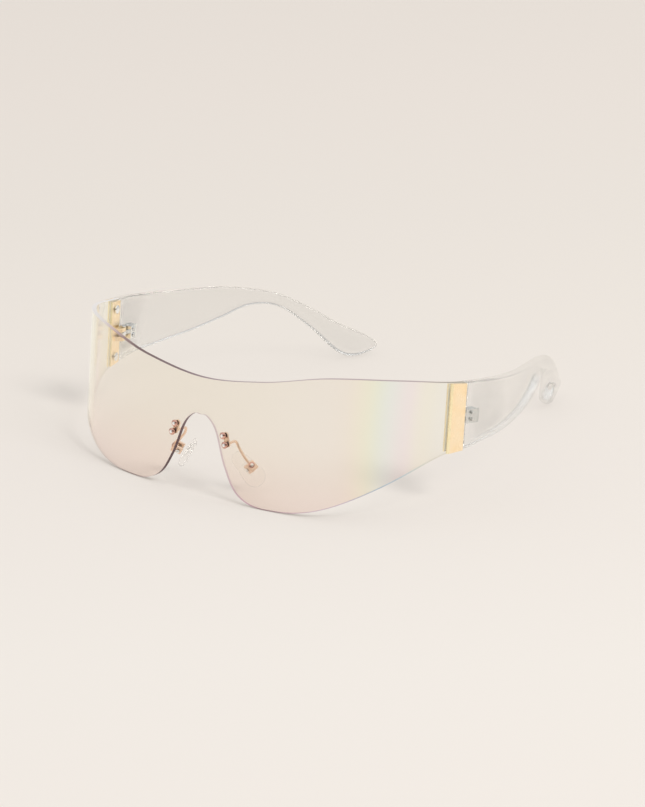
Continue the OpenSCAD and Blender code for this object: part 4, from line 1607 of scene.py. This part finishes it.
@dataclass(frozen=True)
class NoseRest(SidePart):
    """One nose rest: the pegged bracket, the wire, the pad box, and the pad on its lug."""

    peg_along: float = 10.1 * MM
    peg_up: float = 21.4 * MM
    pitch: float = 3.1 * MM
    slant: float = math.radians(18)
    peg: float = 0.9 * MM
    peg_round: float = 0.05 * MM
    sleeve: float = 1.6 * MM
    bore: float = 1 * MM
    cap: float = 2.3 * MM
    cap_round: float = 0.12 * MM
    cap_height: float = 0.9 * MM
    cap_edge_share: float = 0.55
    tip_share: float = 1.25
    tip_sunk: float = 0.14 * MM
    tip_profile: Profile = ((0, 0), (0.5, 0), (0.5, 0.16 * MM), (0.36, 0.24 * MM), (0, 0.26 * MM))
    peg_tip: float = 0.55 * MM
    bracket: float = 2 * MM
    bracket_round: float = 0.12 * MM
    bracket_thick: float = 0.7 * MM
    bracket_steps: int = 16
    wire: float = 0.9 * MM
    wire_bend: float = 50
    wire_steps: int = 10
    wire_sides: int = 20
    pad_place: Triple = (15.3 * MM, 9.3 * MM, 10.4 * MM)
    yaw: float = math.radians(55)
    pitch_turn: float = math.radians(-25.5)
    roll: float = math.radians(-38.5)
    box_width: float = 3 * MM
    box_height: float = 3.2 * MM
    box_front: float = 1.3 * MM
    box_round: float = 0.4 * MM
    slot_width: float = 1.3 * MM
    lug: float = 0.95 * MM
    pocket_clear: float = 0.1 * MM
    screw: float = 0.8 * MM
    screw_head: float = 1.5 * MM
    screw_head_height: float = 0.35 * MM
    screw_slot: Pair = (0.28 * MM, 0.18 * MM)
    rivet_up: float = 0.4 * MM
    rivet_round: float = 0.08 * MM
    rivet_edge_share: float = 0.4
    rivet_rim: Triple = (2.1 * MM, 0.4 * MM, -0.05 * MM)
    rivet_eye: Triple = (1.05 * MM, 0.2 * MM, 0.3 * MM)
    pad_gap: float = 0.7 * MM
    pad_length: float = 13.6 * MM
    pad_width: float = 7.4 * MM
    pad_thick: float = 2.6 * MM
    pad_top_share: float = 0.72
    pad_fullness: float = 0.55
    pad_squareness: float = 0.92
    pad_open: float = 4
    pad_rows: int = 18
    pad_sides: int = 40
    core_edge: float = 0.06 * MM
    arm_shares: tuple[Triple, ...] = (
        (0, 0, 0), (-0.09, 0.48, -0.05), (-0.08, 0.83, 0), (0.23, 0.95, 0.41),
    )

    @property
    def low_peg(self) -> Pair:
        """Finds the lower peg.

        Returns:
            Its place along and up the lens.
        """
        return (
            self.peg_along + self.pitch * math.sin(self.slant),
            self.peg_up - self.pitch * math.cos(self.slant),
        )

    @property
    def box_back(self) -> float:
        """How far the pad box reaches back from the pad's screw."""
        return self.lug + self.pocket_clear + self.wire

    @property
    def pad_frame(self) -> Matrix:
        """Finds the right pad's own frame.

        Returns:
            The frame, upright: X along the pad's screw, Y towards the pad, Z up it.
        """
        turn = (
            Matrix.Rotation(self.yaw, 4, "Z")
            @ Matrix.Rotation(self.pitch_turn, 4, "X")
            @ Matrix.Rotation(self.roll, 4, "Y")
        )
        return Matrix.Translation(self.pad_place) @ turn

    def peg_frames(self) -> list[Matrix]:
        """The upright frames of the two right pegs."""
        return [self.plan.on_lens(u, v) for u, v in ((self.peg_along, self.peg_up), self.low_peg)]

    def holes(self) -> list[bpy.types.Object]:
        """Makes the bars that drill the lens for the pegs.

        Returns:
            The bars, in the upright frame.
        """
        mirror = self.side.mirror
        return [
            rod(
                f"peg_hole_{self.side.label}_{i}",
                self.sleeve / 2 + self.clear,
                mirror @ spot @ Vector((0, -self.overrun, 0)),
                mirror @ spot @ Vector((0, self.plan.thickness + self.overrun, 0)),
            )
            for i, spot in enumerate(self.peg_frames())
        ]

    def peg_spots(self, depth: float, way: float = 1) -> Spots:
        """Places on the pegs' axes in the frame, with a way along them.

        Args:
            depth: how far in from the lens's outer face.
            way: 1 to face in through the lens, -1 to face out.

        Returns:
            Each place and its way.
        """
        whole = self.stance.matrix(self.side)
        return [
            (whole @ spot @ Vector((0, depth, 0)), (whole @ spot).to_3x3() @ Vector((0, way, 0)))
            for spot in self.peg_frames()
        ]

    def build(self) -> None:
        """Builds and dresses the whole rest."""
        self.build_pegs()
        self.build_bracket()
        self.build_wire()
        self.build_box()
        self.build_pad()

    def build_pegs(self) -> None:
        """Builds and dresses the sleeves, the caps and the pegs' bright tips."""
        name = self.side.label
        caps = f"peg_caps_{name}"
        sleeve = Turned(tube(self.bore, self.sleeve, self.plan.thickness), self.peg_round)
        sleeve.fit(f"peg_sleeves_{name}", self.peg_spots(0), BUSH, "front", f"peg_bushes_{name}")
        cap = Turned(dome(self.cap, self.cap_height, self.cap_edge_share), self.cap_round, sides=40)
        cap.fit(f"peg_rims_{name}", self.peg_spots(-self.clear, -1), DARK_ROSE, "front", caps)
        tip = Turned(tuple((share * self.tip_share * self.peg, up) for share, up in self.tip_profile))
        depth = self.tip_sunk - self.clear - self.cap_height
        tip.fit(f"peg_tips_{name}", self.peg_spots(depth, -1), STEEL, "front", caps)

    def build_bracket(self) -> None:
        """Builds and dresses the bracket behind the lens, with its pegs."""
        arc = np.linspace(0, math.pi, self.bracket_steps + 1)
        end = self.bracket / 2
        outline = [(end * math.cos(a), self.pitch / 2 + end * math.sin(a)) for a in arc]
        outline += [(-x, -y) for x, y in outline]
        low_u, low_v = self.low_peg
        middle = self.plan.on_lens((self.peg_along + low_u) / 2, (self.peg_up + low_v) / 2)
        lie = Matrix.Rotation(-self.slant, 4, "Y") @ Matrix.Rotation(math.radians(-90), 4, "X")
        plate = prism("bracket", outline, self.plan.thickness + self.clear, self.plan.thickness + self.bracket_thick)
        round_edges(plate, self.bracket_round)
        plate.data.transform(self.stance.matrix(self.side) @ middle @ lie)
        long = self.peg_tip + self.plan.thickness + self.clear * 2
        peg = Turned(((0, 0), (self.peg / 2, 0), (self.peg / 2, long), (0, long)), self.peg_round, sides=24)
        pegs = peg.stand("pegs", self.peg_spots(-self.peg_tip), ROSE_GOLD)
        piece = join(f"nose_bracket_{self.side.label}", [plate, pegs])
        face_outwards(piece)
        dress(piece, "front", ROSE_GOLD, [f"nose_arm_{self.side.label}"])

    def build_wire(self) -> None:
        """Builds and dresses the wire from the lower peg over its bend to the pad box."""
        low_u, low_v = self.low_peg
        foot = Vector((low_u, self.plan.thickness + self.bracket_thick / 2, low_v))
        frame_turn = self.pad_frame.to_3x3()
        seat = Vector(self.pad_place) - (self.box_back - self.wire / 2) * (frame_turn @ Vector((0, 1, 0)))
        top = seat + self.box_height * (frame_turn @ Vector((0, 0, 1)))
        span = top - foot
        knots = [[foot[i] + share[i] * span[i] for i in range(3)] for share in self.arm_shares]
        line = spline([*knots, top, seat], self.wire_steps)
        mesh = bpy.data.meshes.new("wire_line")
        mesh.from_pydata([tuple(p) for p in line], [(i, i + 1) for i in range(len(line) - 1)], [])
        mesh.transform(self.stance.matrix(self.side))
        piece = put(f"nose_wire_{self.side.label}", mesh)
        values = {"Radius": self.wire / 2, "Sides": self.wire_sides, "Material": ROSE_GOLD.material()}
        NodeTools.run(piece, NodeTools.wires(), values)
        face_outwards(piece)
        smooth(piece, self.wire_bend)
        dress(piece, "front", ROSE_GOLD, [f"nose_arm_{self.side.label}"])

    def build_box(self) -> None:
        """Builds and dresses the slotted pad box, the rivet on its back and the screw through it."""
        name = self.side.label
        arm = f"nose_arm_{name}"
        half, slot = self.box_width / 2, self.slot_width / 2
        deep = -self.lug - self.pocket_clear
        outline = [
            (-half, -self.box_back), (half, -self.box_back), (half, self.box_front), (slot, self.box_front),
            (slot, deep), (-slot, deep), (-slot, self.box_front), (-half, self.box_front),
        ]
        whole = self.stance.matrix(self.side) @ self.pad_frame
        box = prism(f"pad_box_{name}", outline, -self.box_height / 2, self.box_height / 2)
        across = Vector((self.box_width, 0, 0))
        drill(box, [rod("cross_bore", self.screw / 2 + self.clear, -across, across)])
        round_edges(box, self.box_round, segments=3)
        move(box, whole)
        dress(box, "front", ROSE_GOLD, [arm])
        back, out = whole @ Vector((0, -self.box_back, self.rivet_up)), whole.to_3x3() @ Vector((0, -1, 0))
        for part, (width, tall, depth), finish in (
            ("rim", self.rivet_rim, DARK_ROSE), ("eye", self.rivet_eye, STEEL)
        ):
            rivet = Turned(dome(width, tall, self.rivet_edge_share), self.rivet_round)
            rivet.fit(f"pad_box_{part}_{name}", [(back + depth * out, out)], finish, "front", arm)
        profile = screw(self.screw, self.box_width + self.clear, self.screw_head, self.screw_head_height)
        spot = (whole @ Vector((half, 0, 0)), whole.to_3x3() @ Vector((-1, 0, 0)))
        Turned(profile, slot=self.screw_slot).fit(f"pad_pin_{name}", [spot], STEEL, "front", f"pad_screw_{name}")

    def pad_rings(self) -> np.ndarray:
        """Draws the silicone pad's outlines.

        Returns:
            All of them, from its broad foot to its narrow top.
        """
        large, small = self.pad_width / 2, self.pad_width / 2 * self.pad_top_share
        low, high = large - self.pad_length / 2, self.pad_length / 2 - small
        lean = math.asin((large - small) / (high - low))
        middle = self.box_front + self.pad_gap + self.pad_thick / 2
        around = np.linspace(0, math.tau, self.pad_sides + 1)[:-1]
        x_share, y_share = (
            np.sign(wave) * np.abs(wave) ** self.pad_squareness for wave in (np.cos(around), np.sin(around))
        )
        turn, most = math.degrees(lean), 90 - self.pad_open
        rings = []
        for end, radius, first, last in ((low, large, -most, turn), (high, small, turn, most)):
            for a in np.radians(np.linspace(first, last, self.pad_rows)):
                wide, up = radius * math.cos(a), end + radius * math.sin(a)
                thick = self.pad_thick / 2 * (wide / large) ** self.pad_fullness
                rings.append(np.stack([wide * x_share, middle + thick * y_share, 0 * around + up], 1))
        return np.array(rings)

    def build_pad(self) -> None:
        """Builds and dresses the lug with its core and the clear pad moulded over it."""
        name = self.side.label
        body = f"nose_pad_{name}"
        core = polished(f"pad_lug_{name}", f"pad_core_{name}", self.core_edge)
        dress(core, body, BUSH, [f"pad_lug_{name}"])
        pad = loft(f"silicone_pad_{name}", self.pad_rings())
        pad.data.shade_smooth()
        move(pad, self.stance.matrix(self.side) @ self.pad_frame)
        dress(pad, body, SILICONE, [body])


def join(name: str, pieces: Sequence[bpy.types.Object], angle: float = 35) -> bpy.types.Object:
    """Joins pieces into one mesh.

    Args:
        name: the joined piece's name.
        pieces: the pieces, which are used up.
        angle: the angle in degrees above which its edges stay sharp.

    Returns:
        The joined piece.
    """
    mesh = bpy.data.meshes.new(name)
    with reshaping(mesh) as form:
        for piece in pieces:
            form.from_mesh(piece.data)
    for piece in pieces:
        bpy.data.objects.remove(piece)
    joined = put(name, mesh)
    smooth(joined, angle)
    return joined


@dataclass(frozen=True)
class Studio:
    """The pale ground, the soft light and the camera."""

    target: Triple = (0, -6.91 * MM, 11.73 * MM)
    azimuth: float = math.radians(37.87)
    elevation: float = math.radians(19.57)
    roll: float = math.radians(-0.49)
    distance: float = 1294.6 * MM
    focal_pixels: float = 3825.7
    frame_pixels: float = 807
    ground_size: float = 12
    key_azimuth: float = math.radians(80)
    key_elevation: float = math.radians(45)
    key_distance: float = 3
    key_size: float = 1.1
    key_power: float = 30
    key_colour: Colour = (1, 0.985, 0.965)
    sky: float = 0.76
    backdrop: Colour = seen(229, 222, 214)
    room: Stops = (
        (0, seen(238, 231, 223)), (0.5, seen(238, 231, 223)), (0.54, seen(190, 188, 186)),
        (0.66, seen(228, 227, 225)), (0.85, (1, 1, 1)), (1, (1, 1, 1)),
    )
    dark_room: Colour = seen(84, 78, 76)
    dark_near: Pair = (0.3, 0.8)
    dark_high: Pair = (0.25, 0.6)
    window: float = 1.3
    window_reach: float = math.radians(13)
    # Painted shade: the ground's colour steps with the light's fall-off away from the camera.
    ground: Stops = (
        (-350, seen(240, 233, 226)), (-200, seen(241, 235, 228)), (-40, seen(240, 233, 226)),
        (115, seen(239, 232, 224)), (255, seen(238, 231, 223)), (440, seen(239, 231, 223)),
        (700, seen(239, 231, 223)),
    )
    sensor: float = 36
    clip: Pair = (0.01, 50)

    @staticmethod
    def way(azimuth: float, elevation: float) -> Vector:
        """The way, of length 1, to a thing round the glasses, from its angle round them and above the ground."""
        flat = math.cos(elevation)
        return Vector((math.sin(azimuth) * flat, -math.cos(azimuth) * flat, math.sin(elevation)))

    def build(self) -> None:
        """Builds the ground, the lights and the camera."""
        self.build_ground()
        self.build_sky()
        self.build_key()
        self.build_camera()
        bpy.context.scene.view_settings.view_transform = "Standard"

    def build_ground(self) -> None:
        """Builds the ground."""
        reach = self.ground_size / 2
        corners = np.array([(-reach, -reach, 0), (reach, -reach, 0), (reach, reach, 0), (-reach, reach, 0)])
        ground = new_piece("ground", corners, [(0, 1, 2, 3)])
        finish = PaperFinish("pale_ground", "", self.ground, azimuth=self.azimuth)
        ground.data.materials.append(finish.material())

    def build_sky(self) -> None:
        """Builds the world's light, and what polished pieces reflect of it."""
        world = bpy.data.worlds.new("soft_room")
        bpy.context.scene.world = world
        world.use_nodes = True
        bench = Bench(world.node_tree)
        view = bench.add("ShaderNodeTexCoord").outputs["Generated"]
        up = bench.parts(view)["Z"]
        room = bench.ramp(bench.spread(up, 0, 1, -1, 1), self.room)
        nearness = bench.spread(bench.reach(view, self.way(self.azimuth, 0)), 0, 1, *self.dark_near)
        dark = bench.maths("MULTIPLY", nearness, bench.spread(up, 1, 0, *self.dark_high))
        room = bench.mix(dark, room, self.dark_room)
        lit = bench.reach(view, self.way(self.key_azimuth, self.key_elevation))
        edges = (math.cos(self.window_reach), math.cos(self.window_reach / 2))
        window = bench.spread(lit, 1, self.window, *edges)
        room = bench.mix(1.0, room, bench.vector(window, window, window), "MULTIPLY")
        path = bench.add("ShaderNodeLightPath").outputs
        sharp = bench.maths("MAXIMUM", path["Is Glossy Ray"], path["Is Transmission Ray"])
        colour = bench.mix(sharp, (self.sky,) * 3, room)
        colour = bench.mix(path["Is Camera Ray"], colour, self.backdrop)
        sky = bench.add("ShaderNodeBackground", {"Color": colour, "Strength": 1.0}).outputs[0]
        bench.add("ShaderNodeOutputWorld", {"Surface": sky})

    def build_key(self) -> None:
        """Builds the soft lamp at the right."""
        lamp = bpy.data.lights.new("key", "AREA")
        lamp.shape = "DISK"
        lamp.size = self.key_size
        lamp.energy = self.key_power
        lamp.color = self.key_colour
        holder = put("key", lamp)
        way = self.way(self.key_azimuth, self.key_elevation)
        holder.location = way * self.key_distance
        holder.rotation_euler = way.to_track_quat("Z", "Y").to_euler()
        holder.visible_glossy = False
        holder.visible_transmission = False

    def build_camera(self) -> None:
        """Builds the camera where the photograph's stood."""
        data = bpy.data.cameras.new("camera")
        data.sensor_width = self.sensor
        data.lens = self.focal_pixels / self.frame_pixels * self.sensor
        data.clip_start, data.clip_end = self.clip
        camera = put("camera", data)
        way = self.way(self.azimuth, self.elevation)
        look = way.to_track_quat("Z", "Y").to_matrix().to_4x4()
        camera.matrix_world = (
            Matrix.Translation(Vector(self.target) + way * self.distance)
            @ look
            @ Matrix.Rotation(self.roll, 4, "Z")
        )
        bpy.context.scene.camera = camera


def main() -> None:
    """Builds the whole pair of glasses and its studio."""
    logging.basicConfig(level=logging.INFO, format="%(message)s")
    plan = LensPlan()
    stance = Stance.from_frame(plan)
    plates = [EndPlate(plan, stance, side) for side in Side]
    rests = [NoseRest(plan, stance, side) for side in Side]
    Lens(plan, stance).build([hole for part in (*plates, *rests) for hole in part.holes()])
    for part in plates:
        part.build()
    for side in Side:
        Hinge(plan, stance, side).build()
        Temple(plan, stance, side).build()
    for part in rests:
        part.build()
    Studio().build()


if __name__ == "__main__":
    main()
